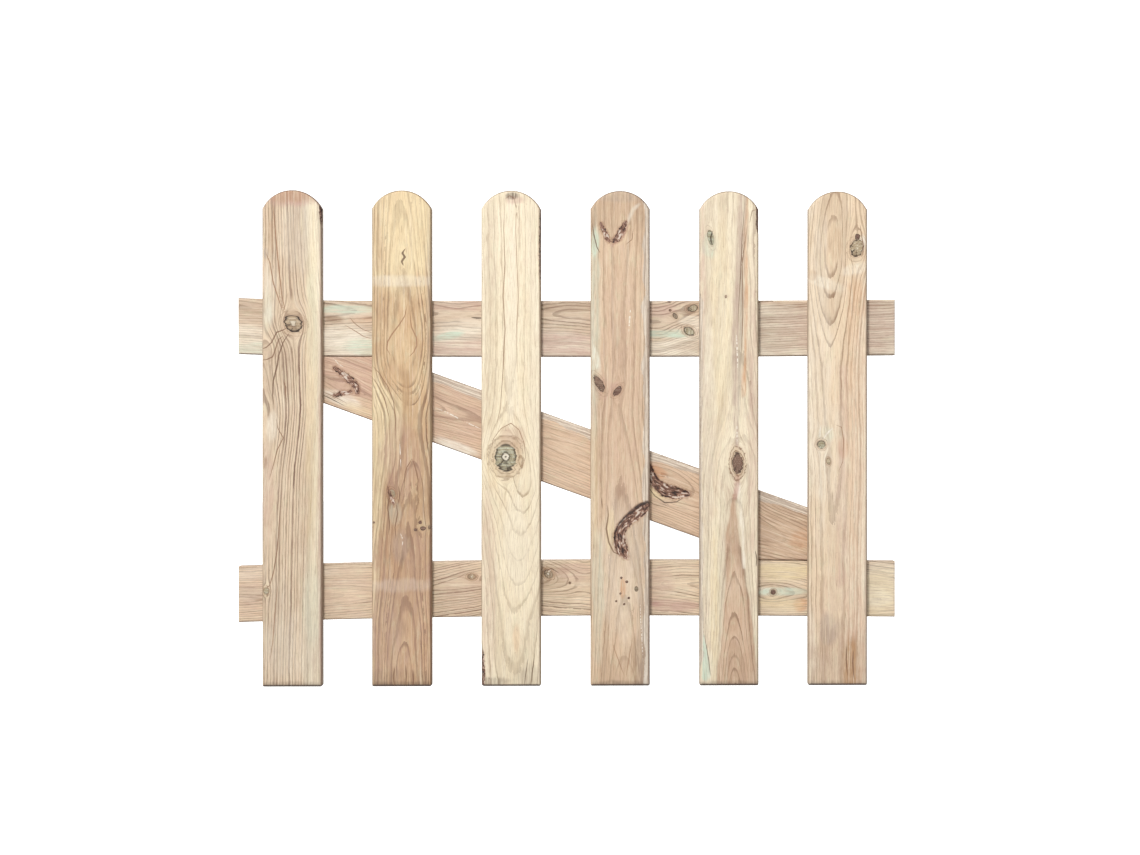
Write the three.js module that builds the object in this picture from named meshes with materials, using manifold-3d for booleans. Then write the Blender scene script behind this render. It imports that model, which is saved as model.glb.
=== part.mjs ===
// A timber garden gate leaf: six round-topped pickets screwed to two rails and a diagonal brace.
//
// Units are millimetres. X runs across the leaf, to the right as seen from the front. The front,
// with the pickets, faces -Y, and +Z is up. The origin is the place where the lower hinge is
// fastened: on the back face of the lower rail, at mid height, a little in from its hinge end.

import * as THREE from "three";
import { mergeVertices } from "three/addons/utils/BufferGeometryUtils.js";
import Module from "manifold-3d";

const wasm = await Module();
wasm.setup();

// ---- driving dimensions ----

const LEAF_WIDTH = 1000; // length of both rails
const HINGE_INSET = 30; // hinge end of the rails to the origin

const RAIL_HEIGHT = 85;
const RAIL_THICKNESS = 28;
const RAIL_SPACING = 395; // between the rails' centre lines

const PICKET_COUNT = 6;
const PICKET_WIDTH = 90;
const PICKET_THICKNESS = 20;
const PICKET_HEIGHT = 750;
const PICKET_PITCH = 165;
const PICKET_FOOT = 147; // bottom of the pickets below the lower rail's centre line
const FIRST_PICKET_INSET = 40; // latch end of the rails to the edge of the first picket
const TOP_RADIUS = 50; // the round of a picket's top
const TOP_SHOULDER = 2; // upright step left between the round and the picket's edge
const TOP_ARC_POINTS = 13;

const BRACE_WIDTH = 100;
const BRACE_THICKNESS = 28;
const BRACE_ANGLE = THREE.MathUtils.degToRad(-19.8); // falls from the latch side to the hinge side
const BRACE_INSET = 47; // rail end to the plumb cut at each end of the brace, behind the end pickets
const BRACE_LIFT = 3.5; // the brace's middle above the point midway between the rails

const ARRIS = 3; // chamfer on the long edges of every board
const PICKET_ARRIS = 4;
const CONTACT_GAP = 0.3; // between boards that touch

const SCREW_LENGTH = 40;
const SCREW_HEAD_RADIUS = 4;
const SCREW_HEAD_DEPTH = 3.2; // the countersunk cone
const SCREW_RIM = 0.4; // the short straight edge of the head
const SCREW_SHANK_RADIUS = 2;
const SCREW_POINT_LENGTH = 5;
const SCREW_SUNK = 0.6; // head below the face of the wood
const SCREW_HOLE_GAP = 0.3; // wood kept clear of the screw all round
const SCREW_SIDES = 8;
const DRIVE_RADIUS = 1.5; // the drive recess in the head
const DRIVE_DEPTH = 1.8;
const RAIL_SCREW_X = 22; // either side of the picket's centre line
const RAIL_SCREW_Z = 20; // one screw up, one down, across the rail's height
const BRACE_SCREW_X = 22;
const BRACE_END_SCREW_X = 14; // from an end picket's centre line towards the leaf's middle

// ---- places worked out from them ----

const hingeEnd = HINGE_INSET;
const latchEnd = HINGE_INSET - LEAF_WIDTH;
const railBack = 0;
const railFront = -RAIL_THICKNESS;
const picketBack = railFront - CONTACT_GAP;
const picketFront = picketBack - PICKET_THICKNESS;
const picketBottom = -PICKET_FOOT;
const leafMiddle = (hingeEnd + latchEnd) / 2;
const braceMiddleZ = RAIL_SPACING / 2 + BRACE_LIFT;
const picketXs = Array.from(
  { length: PICKET_COUNT },
  (_, i) => latchEnd + FIRST_PICKET_INSET + PICKET_WIDTH / 2 + i * PICKET_PITCH,
);

// ---- materials ----

const timber = (name, colour) => {
  const material = new THREE.MeshStandardMaterial({ color: colour, roughness: 0.72, metalness: 0 });
  material.name = name;
  return material;
};
const picketTimber = timber("picket_timber", 0xe3cda6);
const railTimber = timber("rail_timber", 0xdcc4a0);
const braceTimber = timber("brace_timber", 0xd2b598);
const screwSteel = new THREE.MeshStandardMaterial({ color: 0xb9b4a2, roughness: 0.4, metalness: 0.9 });
screwSteel.name = "screw_steel";

// ---- solids: joining and cutting ----

function toSolid(geometry) {
  const bare = geometry.clone();
  bare.deleteAttribute("normal");
  bare.deleteAttribute("uv");
  const merged = mergeVertices(bare, 1e-4);
  const mesh = new wasm.Mesh({
    numProp: 3,
    vertProperties: new Float32Array(merged.attributes.position.array),
    triVerts: new Uint32Array(merged.index.array),
  });
  return new wasm.Manifold(mesh);
}

function toGeometry(solid) {
  const mesh = solid.getMesh();
  const geometry = new THREE.BufferGeometry();
  geometry.setAttribute("position", new THREE.BufferAttribute(mesh.vertProperties, 3));
  geometry.setIndex(new THREE.BufferAttribute(mesh.triVerts, 1));
  geometry.computeVertexNormals();
  return geometry;
}

// ---- boards ----

// A board from its outline in the XZ plane, thick along Y from `front` to `back`, with every
// outline edge chamfered on both faces.
function board(outline, front, back, chamfer) {
  const shape = new THREE.Shape(outline.map(([x, z]) => new THREE.Vector2(x, z)));
  const geometry = new THREE.ExtrudeGeometry(shape, {
    depth: back - front - 2 * chamfer,
    bevelEnabled: true,
    bevelThickness: chamfer,
    bevelSize: chamfer,
    bevelOffset: -chamfer,
    bevelSegments: 1,
    curveSegments: 1,
  });
  geometry.rotateX(Math.PI / 2);
  geometry.translate(0, back - chamfer, 0);
  return geometry;
}

function picketOutline(centreX) {
  const half = PICKET_WIDTH / 2;
  const top = picketBottom + PICKET_HEIGHT;
  const arcCentre = top - TOP_RADIUS;
  const spread = Math.asin((half - TOP_SHOULDER / 2) / TOP_RADIUS);
  const arc = Array.from({ length: TOP_ARC_POINTS }, (_, i) => {
    const angle = spread - (2 * spread * i) / (TOP_ARC_POINTS - 1);
    return [centreX + TOP_RADIUS * Math.sin(angle), arcCentre + TOP_RADIUS * Math.cos(angle)];
  });
  const shoulder = arc[0][1] - TOP_SHOULDER;
  return [
    [centreX - half, picketBottom],
    [centreX + half, picketBottom],
    [centreX + half, shoulder],
    ...arc,
    [centreX - half, shoulder],
  ];
}

function railOutline(centreZ) {
  return [
    [latchEnd, centreZ - RAIL_HEIGHT / 2],
    [hingeEnd, centreZ - RAIL_HEIGHT / 2],
    [hingeEnd, centreZ + RAIL_HEIGHT / 2],
    [latchEnd, centreZ + RAIL_HEIGHT / 2],
  ];
}

// Height of the brace's centre line at x.
const braceLine = (x) => braceMiddleZ + (x - leafMiddle) * Math.tan(BRACE_ANGLE);

// The brace fits between the rails: its top corner is cut to the upper rail, its bottom corner
// to the lower rail, and both ends are cut plumb.
function braceOutline() {
  const rise = BRACE_WIDTH / 2 / Math.cos(BRACE_ANGLE);
  const slope = Math.tan(BRACE_ANGLE);
  const left = latchEnd + BRACE_INSET;
  const right = hingeEnd - BRACE_INSET;
  const ceiling = RAIL_SPACING - RAIL_HEIGHT / 2 - CONTACT_GAP;
  const floor = RAIL_HEIGHT / 2 + CONTACT_GAP;
  const xWhere = (z, offset) => leafMiddle + (z - offset - braceMiddleZ) / slope;
  return [
    [left, braceLine(left) - rise],
    [xWhere(floor, -rise), floor],
    [right, floor],
    [right, braceLine(right) + rise],
    [xWhere(ceiling, rise), ceiling],
    [left, ceiling],
  ];
}

// ---- screws ----

// Outline of the countersunk screw as [radius, distance from the top of the head], grown by `gap`.
function screwProfile(gap) {
  const head = SCREW_HEAD_RADIUS + gap;
  const shank = SCREW_SHANK_RADIUS + gap;
  const cone = SCREW_RIM + SCREW_HEAD_DEPTH;
  const pointStart = SCREW_LENGTH - SCREW_POINT_LENGTH + gap;
  return [
    [head, 0],
    [head, SCREW_RIM + gap],
    [shank, cone + gap],
    [shank, pointStart],
    [0, SCREW_LENGTH + gap],
  ];
}

// A solid of revolution about the drilling line, which runs from the back face along -Y.
function turned(profile, x, z, start) {
  const points = profile.map(([radius, depth]) => new THREE.Vector2(radius, depth));
  const geometry = new THREE.LatheGeometry([new THREE.Vector2(0, points[0].y), ...points], SCREW_SIDES);
  geometry.rotateX(Math.PI);
  geometry.translate(x, start, z);
  return geometry;
}

function screw(x, z) {
  const top = railBack - SCREW_SUNK;
  const body = toSolid(turned(screwProfile(0), x, z, top));
  const recess = [
    [DRIVE_RADIUS, -1],
    [DRIVE_RADIUS, DRIVE_DEPTH],
    [0, DRIVE_DEPTH],
  ];
  return toGeometry(body.subtract(toSolid(turned(recess, x, z, top))));
}

// The hole that the screw sits in, open at the back face.
function screwHole(x, z) {
  const profile = screwProfile(SCREW_HOLE_GAP);
  const mouth = [profile[0][0], -SCREW_SUNK - 1];
  return toSolid(turned([mouth, ...profile], x, z, railBack - SCREW_SUNK));
}

// ---- where the screws go ----

// Two screws, on the slant, where a picket crosses a rail.
const railCrossing = (x, z) => [
  [x - RAIL_SCREW_X, z + RAIL_SCREW_Z],
  [x + RAIL_SCREW_X, z - RAIL_SCREW_Z],
];

// The middle pickets take two screws into the brace, the end ones a single screw.
function braceCrossing(x, index) {
  const atEnd = index === 0 || index === PICKET_COUNT - 1;
  const inwards = Math.sign(leafMiddle - x) * BRACE_END_SCREW_X;
  const offsets = atEnd ? [inwards] : [-BRACE_SCREW_X, BRACE_SCREW_X];
  return offsets.map((offset) => [x + offset, braceLine(x + offset)]);
}

const screwSpots = picketXs.flatMap((x, i) => [
  ...railCrossing(x, RAIL_SPACING).map((at, k) => ({ name: `upper_rail_screw_${i + 1}${"ab"[k]}`, at })),
  ...braceCrossing(x, i).map((at, k) => ({ name: `brace_screw_${i + 1}${"ab"[k]}`, at })),
  ...railCrossing(x, 0).map((at, k) => ({ name: `lower_rail_screw_${i + 1}${"ab"[k]}`, at })),
]);

// ---- the leaf ----

const leaf = new THREE.Group();
leaf.name = "garden_gate";

function addPiece(name, geometry, material) {
  const mesh = new THREE.Mesh(geometry, material);
  mesh.name = name;
  leaf.add(mesh);
}

// A board with the holes of the screws that pass through or into it.
function addBoard(name, geometry, material, holes) {
  const drilled = holes.reduce((solid, hole) => solid.subtract(hole), toSolid(geometry));
  addPiece(name, toGeometry(drilled), material);
}

const holesFor = (test) => screwSpots.filter(test).map(({ at: [x, z] }) => screwHole(x, z));
const named = (start) => (spot) => spot.name.startsWith(start);

const upperRail = board(railOutline(RAIL_SPACING), railFront, railBack, ARRIS);
const lowerRail = board(railOutline(0), railFront, railBack, ARRIS);
const brace = board(braceOutline(), -BRACE_THICKNESS, railBack, ARRIS);
addBoard("upper_rail", upperRail, railTimber, holesFor(named("upper_rail_screw")));
addBoard("lower_rail", lowerRail, railTimber, holesFor(named("lower_rail_screw")));
addBoard("diagonal_brace", brace, braceTimber, holesFor(named("brace_screw")));

picketXs.forEach((x, i) => {
  const geometry = board(picketOutline(x), picketFront, picketBack, PICKET_ARRIS);
  const near = ({ at }) => Math.abs(at[0] - x) < PICKET_WIDTH / 2;
  addBoard(`picket_${i + 1}`, geometry, picketTimber, holesFor(near));
});

screwSpots.forEach(({ name, at: [x, z] }) => addPiece(name, screw(x, z), screwSteel));

export default leaf;
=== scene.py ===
"""The garden gate leaf: sawn softwood boards and plated screws, built around the CAD frame.

Every board is a dense mesh made in code. Its growth rings, knots, bark and stains are fields worked
out at each vertex from a short description of the board, and stored as attributes, so that the same
wood runs through the front, the edges, the ends and the back. The materials turn those fields into
colour, gloss and fine relief.

Board coordinates are millimetres: across (to the right, or up on a lying board), along (from the
foot, or from the latch end) and depth (from the front face to the back).
"""

import math
from collections import namedtuple

import bpy
import numpy as np
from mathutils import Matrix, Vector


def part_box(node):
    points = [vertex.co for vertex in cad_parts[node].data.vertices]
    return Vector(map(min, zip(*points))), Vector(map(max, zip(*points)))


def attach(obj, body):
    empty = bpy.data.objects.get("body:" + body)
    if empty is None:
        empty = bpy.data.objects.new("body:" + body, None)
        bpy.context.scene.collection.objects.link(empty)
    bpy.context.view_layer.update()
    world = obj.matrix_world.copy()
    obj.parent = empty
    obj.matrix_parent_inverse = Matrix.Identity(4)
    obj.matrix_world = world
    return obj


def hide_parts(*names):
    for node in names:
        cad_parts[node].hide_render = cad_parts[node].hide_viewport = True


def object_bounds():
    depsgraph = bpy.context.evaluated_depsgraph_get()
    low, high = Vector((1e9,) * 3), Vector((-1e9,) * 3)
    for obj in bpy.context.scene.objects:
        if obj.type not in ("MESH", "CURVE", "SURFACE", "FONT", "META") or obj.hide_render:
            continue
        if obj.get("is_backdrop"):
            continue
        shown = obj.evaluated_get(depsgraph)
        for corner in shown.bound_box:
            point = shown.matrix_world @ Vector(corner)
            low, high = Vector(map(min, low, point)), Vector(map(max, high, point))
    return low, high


MM = 0.001  # one millimetre in metres

# ---- camera and studio ----

CAMERA_X = -372.6  # mm, in the row's frame
CAMERA_Z = 250.6
CAMERA_DISTANCE = 2900  # mm from the front of the pickets
CAMERA_LENS = 60.48  # mm on a 36 mm sensor
CAMERA_SHIFT = -0.0877
CAMERA_YAW = 0.02  # radians to the right
CAMERA_PITCH = -0.0021  # radians, downwards
CAMERA_REACH = 60  # metres

KEY_DISTANCE = 3600
KEY_LEFT = math.radians(9)
KEY_UP = math.radians(28)
KEY_SIZE = 600
KEY_POWER = 86  # watts
KEY_COLOUR = (1.0, 0.985, 0.965)
FILL_PLACE = (-470, 3000, 1600)
FILL_SIZE = 2400
FILL_POWER = 40
FILL_COLOUR = (1.0, 0.99, 0.98)
SKY_COLOUR = (1.0, 0.99, 0.975, 1)
SKY_LEAN = (-0.24, 0.0, 0.34)  # brighter from above and the left
SKY_LEVEL = 0.54

FLOOR_REACH = 9000  # half its side
FLOOR_DROP = 55  # below the pickets' feet
FLOOR_GLOW = 0.62
DOME_RADIUS = 8.5  # metres
DOME_GLOW = 1.15

# ---- boards ----

ACROSS_STEP = 1.5  # mm between vertices on a face
ALONG_STEP = 2.0
BRACE_STEP = 1.7
SIDE_STEP = 2.6  # mm between vertices from the front to the back
ARC_ROWS = 34  # in the round of a picket's top
EDGE_STEPS = (0.0, 0.3, 1.0, 2.1, 3.6)  # mm in from an edge, where the rounded arris needs them
PICKET_ARRIS = 3.6
RAIL_ARRIS = 2.4
CORNER_ROUND = 3.0  # the sanded corners at a picket's foot
TOP_RADIUS = 50.0
TOP_SHOULDER = 1.0
APEX_FLAT = 3.0  # half the width of the last row of a picket's top
# how far each rail swings up at its ends, as (mm at the latch end, over mm, mm at the hinge end, over mm)
UPPER_SWING = (4.0, 200.0, 2.8, 500.0)
LOWER_SWING = (-9.0, 600.0, -2.6, 500.0)
BRACE_SLOPE = math.tan(math.radians(-19.8))
BRACE_WIDTH = 100.0
BRACE_LIFT = 3.5  # its middle above the middle of the opening between the rails
CONTACT_GAP = 0.3
MARK_DEPTH = 9  # mm into the wood at which the front's stains have mostly faded
BARK_DEPTH = 12  # no bark shows further in than this
FIELD_REACH = 4  # mm that bark and waney edges are measured over
WANE_FADE = 22  # mm over which a waney edge starts and ends
KNOT_REACH = 4.0  # a knot's field is kept to this many of its radii
DEEPEST = 0.6  # no mark on the front goes deeper than this share of the thickness

# ---- screws ----

SCREW_SHANK_RADIUS = 2.0
SCREW_LENGTH = 40.0
SCREW_SIDES = 32
HEAD_RINGS = (0.25, 0.5, 0.75, 1.0, 1.3, 1.6, 1.9, 2.2, 2.7, 3.3, 3.8)
SCREW_NECK = ((4.0, 0.12), (4.0, 0.5), (3.2, 1.8), (2.3, 3.2), (1.55, 4.2), (1.45, 8.0))  # (radius, depth)
THREAD_START = 8.4
THREAD_PITCH = 2.0
THREAD_RINGS = 104
THREAD_CORE = 1.25  # radius between the crests
POINT_LENGTH = 6.0
RECESS_ARM_WIDTH = 0.62  # half the width of each arm of the cross
RECESS_ARM_LENGTH = 2.0
RECESS_DEPTH = 1.7
SINK_RADIUS = 4.45  # the mouth that the head leaves in the wood
SINK_THROAT = 2.9
SINK_DEPTH = 2.6

# ---- what a board is described with ----

# a branch cut across: rim is how dark its bark ring is, tone how dark its body, core how pale its heart,
# halo how crowded the rings round it are, and turn is in degrees
Knot = namedtuple(
    "Knot", "across along wide tall rim tone green core halo turn", defaults=(0.6, 0.5, 0, 0, 0.5, 0)
)
# the grain swings round this place without a knot showing
Bend = namedtuple("Bend", "across along wide tall")
# an oval stain or change of tone, tilted in degrees, with an edge of `soft` of its size
Patch = namedtuple("Patch", "across along wide tall amount tilt soft", defaults=(0.0, 0.35))
# the same along a bent line of (across, along, width), with an edge of `soft` mm
Band = namedtuple("Band", "field amount soft points")
# a crack, a streak or a scratch: tint is 0 for nearly black, 0.5 for brown and 1 for white
Line = namedtuple("Line", "tint width points")
# bark grown into the wood: points are (across, along, width)
Bark = namedtuple("Bark", "depth points")
# an edge that follows the outside of the tree: side is -1 or 1, dark is 1 where bark is left on it
Wane = namedtuple("Wane", "side start end width depth dark")
# a board: the seed of its noise, mm from ring to ring, mm that the grain wanders, the heartwood's radius,
# how strong and how thick the rings' dark lines are (of 1), the colours of sapwood, heartwood and those
# lines, the tree's pith as (along, across, mm in front of the board), and its marks, the patches by stain
Board = namedtuple(
    "Board",
    "seed spacing wobble heart_radius contrast thick sap heart late pith "
    "knots bends patches bands lines barks wanes",
    defaults=((), (), {}, (), (), (), ()),
)

# plain hides the growth rings and busy strengthens them; heart is heartwood; the others are STAIN_LOOKS
STAINS = (
    "heart", "pale", "green", "grey", "resin", "shade", "pink", "yellow", "dark", "plain", "busy", "tan",
)
STAIN_LOOKS = {  # how strongly each covers the wood, and its colour
    "pale": (1.0, "#f4ecdb"),
    "shade": (0.8, "#97795f"),
    "resin": (0.9, "#cf8f5d"),
    "yellow": (0.8, "#eedcb2"),
    "green": (0.7, "#cfdcc8"),
    "grey": (0.8, "#b0a396"),
    "pink": (0.8, "#c39c90"),
    "dark": (1.0, "#4c382c"),
    "tan": (0.9, "#b28a62"),
}


def linear(colour):
    """A "#rrggbb" colour as linear RGBA."""
    parts = [int(colour[i : i + 2], 16) / 255 for i in (1, 3, 5)]
    return [c / 12.92 if c <= 0.04045 else ((c + 0.055) / 1.055) ** 2.4 for c in parts] + [1.0]


# ---- smooth noise and curves on arrays ----


def smooth_noise(seed, points, size):
    """Smooth noise of about -1 to 1 at points (n, 3), with swings of about `size` mm on each axis."""
    rng = np.random.default_rng(seed)
    waves = 28
    directions = rng.normal(size=(waves, 3)) * math.pi / np.asarray(size, float)
    phases = rng.uniform(0, 2 * math.pi, waves)
    total = np.zeros(len(points))
    for direction, phase in zip(directions, phases):
        total += np.cos(points @ direction + phase)
    return total * math.sqrt(2 / waves) * 0.5


def smooth_curve(x, pairs, soft=9.0):
    """A curve through (x, y) pairs, with its corners rounded over `soft` mm."""
    xs, ys = zip(*sorted(pairs))
    offsets = np.linspace(-soft, soft, 7)
    return np.mean([np.interp(x + o, xs, ys) for o in offsets], axis=0)


def rise(x, low, high):
    """0 below low, 1 above high, smooth between."""
    t = np.clip((x - low) / (high - low), 0, 1)
    return t * t * (3 - 2 * t)


def near_front(depth):
    """1 at the front face, fading with depth."""
    return np.exp(-((np.maximum(depth, 0) / MARK_DEPTH) ** 2))


def nearest_on_line(across, along, points):
    """Signed mm to a line of (across, along, width), its width there and the share of it passed."""
    best = np.full(len(across), 1e9)
    width, share = np.zeros(len(across)), np.zeros(len(across))
    legs = list(zip(points[:-1], points[1:]))
    for i, ((x0, y0, w0), (x1, y1, w1)) in enumerate(legs):
        dx, dy = x1 - x0, y1 - y0
        t = np.clip(((across - x0) * dx + (along - y0) * dy) / (dx * dx + dy * dy), 0, 1)
        off_x, off_y = across - x0 - t * dx, along - y0 - t * dy
        side = np.where(off_x * dy - off_y * dx < 0, -1, 1)
        distance = side * np.hypot(off_x, off_y)
        nearer = abs(distance) < abs(best)
        best = np.where(nearer, distance, best)
        width = np.where(nearer, w0 + t * (w1 - w0), width)
        share = np.where(nearer, (i + t) / len(legs), share)
    return best, width, share


# ---- the wood: fields at board coordinates ----


def turned(mark, degrees, across, along):
    """A point's place in mm along the width and the height of a mark that is turned by those degrees."""
    c, s = math.cos(math.radians(degrees)), math.sin(math.radians(degrees))
    dx, dy = across - mark.across, along - mark.along
    return c * dx + s * dy, c * dy - s * dx


def ring_field(board, across, along, depth):
    """The ring coordinate (a unit a year), mm from the pith, and the place across straightened grain."""
    points = np.stack([across, along, depth], 1)
    bent = across.copy()
    for knot in board.knots:
        side = across - knot.across
        reach = (side / (knot.wide * 0.54)) ** 2 + ((along - knot.along) / (knot.tall * 0.95)) ** 2
        bent -= side / np.maximum(reach, 1)
    for bend in board.bends:
        side = across - bend.across
        reach = (side / (bend.wide / 2)) ** 2 + ((along - bend.along) / (bend.tall / 2)) ** 2
        bent -= side / (1 + reach)
    wobble = board.wobble
    bent += wobble * smooth_noise(board.seed, points, (90, 230, 90))
    bent += 0.40 * wobble * smooth_noise(board.seed + 1, points, (34, 80, 34))
    bent += 0.14 * wobble * smooth_noise(board.seed + 12, points, (12, 26, 12))
    pith_across = smooth_curve(along, [(v, a) for v, a, _ in board.pith])
    pith_depth = smooth_curve(along, [(v, d) for v, _, d in board.pith])
    radius = np.hypot(bent - pith_across, depth + pith_depth)
    radius += 0.5 * smooth_noise(board.seed + 2, points, (30, 90, 30))
    return radius / board.spacing, radius, bent


def knot_fields(board, across, along):
    """The nearest knot: place in it (x, y, radius), look (rim, green, core) and body (tone, halo, 0)."""
    place = np.tile([KNOT_REACH, 0.0, KNOT_REACH], (len(across), 1))
    look = np.zeros((len(across), 3))
    body = np.zeros((len(across), 3))
    for knot in board.knots:
        x, y = turned(knot, knot.turn, across, along)
        x, y = x / (knot.wide / 2), y / (knot.tall / 2)
        radius = np.hypot(x, y)
        nearer = radius < place[:, 2]
        place[nearer] = np.stack([x, y, radius], 1)[nearer]
        look[nearer] = (knot.rim, knot.green, knot.core)
        body[nearer] = (knot.tone, knot.halo, 0)
    return place, look, body


def stain_fields(board, across, along, depth, radius):
    """Each of STAINS as an array."""
    points = np.stack([across, along, depth], 1)
    ragged = smooth_noise(board.seed + 4, points, (14, 34, 14))
    fields = {name: np.zeros(len(across)) for name in STAINS}
    front = near_front(depth)
    for field, patches in board.patches.items():
        for patch in (Patch(*values) for values in patches):
            x, y = turned(patch, patch.tilt, across, along)
            r = np.hypot(x / (patch.wide / 2), y / (patch.tall / 2)) + 0.5 * patch.soft * ragged
            fields[field] += patch.amount * (1 - rise(r, 1 - patch.soft, 1 + patch.soft)) * front
    for band in board.bands:
        distance, width, _ = nearest_on_line(across, along, band.points)
        inside = (width / 2 - abs(distance)) / band.soft + 0.5 * ragged
        fields[band.field] += band.amount * rise(inside, -1, 1) * front
    edge_noise = 6 * smooth_noise(board.seed + 5, points, (50, 240, 50))
    fields["heart"] += rise(board.heart_radius - radius + edge_noise, -5, 5)
    return fields


def line_field(board, across, along):
    """The nearest crack or scratch: signed distance, half width and tint."""
    field = np.tile([9.0, 0.0, 0.0], (len(across), 1))
    for line in board.lines:
        points = [(x, y, line.width) for x, y in line.points]
        distance, width, share = nearest_on_line(across, along, points)
        taper = np.sqrt(np.clip(np.sin(math.pi * share), 0, 1))
        half = width / 2 * taper * (1 - rise(abs(distance), 2.5, 4.5))
        nearer = abs(distance) < abs(field[:, 0])
        new = np.stack([distance, half, np.full(len(across), line.tint)], 1)
        field[nearer] = new[nearer]
    return field


def bark_field(board, across, along):
    """How far inside a bark pocket (0 at its outline, 1 well in, -1 well out), mm along and across it."""
    field = np.tile([-1.0, 0.0, 0.0], (len(across), 1))
    for bark in board.barks:
        distance, width, share = nearest_on_line(across, along, bark.points)
        length = sum(math.dist(a[:2], b[:2]) for a, b in zip(bark.points[:-1], bark.points[1:]))
        inside = np.clip((width / 2 - abs(distance)) / FIELD_REACH, -1, 1)
        nearer = inside > field[:, 0]
        field[nearer] = np.stack([inside, share * length, distance], 1)[nearer]
    return field


def wane_field(board, half_width, across, along):
    """How far inside a waney edge, as for bark, and how dark it is."""
    inside, dark = np.full(len(across), -1.0), np.zeros(len(across))
    points = np.stack([across * 0, along, across * 0], 1)
    for wane in board.wanes:
        wavy = 1 + 0.35 * smooth_noise(board.seed + 6, points, (30, 34, 30))
        start, end = wane.start, wane.end
        ends = rise(along, start, start + WANE_FADE) * (1 - rise(along, end - WANE_FADE, end))
        reach = (wane.width * wavy * ends - (half_width - wane.side * across)) / FIELD_REACH
        nearer = reach > inside
        inside = np.where(nearer, reach, inside)
        dark = np.where(nearer, wane.dark, dark)
    return np.clip(inside, -1, 1), dark


def relief(board, half_width, across, along):
    """Depth in mm of the front face below the plane that it was planed to."""
    points = np.stack([across, along, 0 * across], 1)
    sunk = 0.16 + 0.10 * smooth_noise(board.seed + 7, points, (60, 120, 60))
    place, look, _ = knot_fields(board, across, along)
    sunk -= 0.16 * np.exp(-((place[:, 2] / 1.2) ** 2))
    sunk += 0.35 * look[:, 0] * np.exp(-(((place[:, 2] - 1.0) / 0.14) ** 2))
    rough = 1 + 0.45 * smooth_noise(board.seed + 8, points, (5, 6, 5))
    for bark in board.barks:
        distance, width, _ = nearest_on_line(across, along, bark.points)
        sunk += bark.depth * rise((width / 2 - abs(distance)) / FIELD_REACH, -0.1, 0.6) * rough
    for wane in board.wanes:
        alone = board._replace(wanes=(wane,))
        inside, _ = wane_field(alone, half_width, across, along)
        from_edge = np.clip(1 - (half_width - wane.side * across) / wane.width, 0, 1)
        sunk += wane.depth * rise(inside, -0.2, 0.6) * from_edge**1.4 * rough
    return sunk


# ---- board meshes ----


def stops(low, high, step, extra=()):
    """Places from low to high, close together at both ends, where the arris is."""
    inner = np.linspace(low + EDGE_STEPS[-1], high - EDGE_STEPS[-1], round((high - low) / step))
    near = [low + e for e in EDGE_STEPS[:-1]]
    far = [high - e for e in EDGE_STEPS[:-1]]
    return np.array(sorted({round(float(x), 4) for x in [*near, *inner, *far, *extra]}))


def roundover(distance, radius):
    """How far an arris of that radius has fallen away at a distance in from the outline."""
    x = np.clip(radius - distance, 0, radius)
    return radius - np.sqrt(radius * radius - x * x)


def grid_faces(rows, columns, start, flip):
    """The quads of a rows x columns grid of vertices."""
    r, c = np.meshgrid(np.arange(rows - 1), np.arange(columns - 1), indexing="ij")
    a = start + r * columns + c
    quads = np.stack([a, a + 1, a + columns + 1, a + columns], -1).reshape(-1, 4)
    return quads[:, ::-1] if flip else quads


def border(rows, columns):
    """The grid's outer vertices, once round."""
    first = [(0, c) for c in range(columns)]
    right = [(r, columns - 1) for r in range(1, rows)]
    last = [(rows - 1, c) for c in range(columns - 2, -1, -1)]
    left = [(r, 0) for r in range(rows - 2, 0, -1)]
    return np.array([r * columns + c for r, c in first + right + last + left])


def board_shell(front, back, thickness):
    """Points and quads of a closed board between two grids of points (rows, columns, 3)."""
    rows, columns, _ = front.shape
    count = rows * columns
    points = [front.reshape(-1, 3), back.reshape(-1, 3)]
    faces = [grid_faces(rows, columns, 0, False), grid_faces(rows, columns, count, True)]
    loop = border(rows, columns)
    steps = max(3, round(thickness / SIDE_STEP))
    previous = loop
    for i in range(1, steps + 1):
        current = loop + count
        if i < steps:
            share = i / steps
            current = np.arange(len(loop)) + sum(len(p) for p in points)
            points.append(points[0][loop] * (1 - share) + points[1][loop] * share)
        faces.append(np.stack([previous, current, np.roll(current, -1), np.roll(previous, -1)], 1))
        previous = current
    return np.concatenate(points), np.concatenate(faces)


def mesh_object(name, points, faces, smooth=True):
    """A Blender object from millimetre points in the row's frame."""
    mesh = bpy.data.meshes.new(name)
    mesh.from_pydata((points * MM).tolist(), [], faces.tolist())
    mesh.validate()
    if smooth:
        mesh.shade_smooth()
    obj = bpy.data.objects.new(name, mesh)
    bpy.context.scene.collection.objects.link(obj)
    return obj


def store(mesh, name, values):
    """Keeps an array on the mesh's vertices: one number each, or three."""
    values = np.asarray(values, np.float32)
    kind = "FLOAT" if values.ndim == 1 else "FLOAT_VECTOR"
    attribute = mesh.attributes.new(name, kind, "POINT")
    attribute.data.foreach_set("value" if kind == "FLOAT" else "vector", values.ravel())


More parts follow.
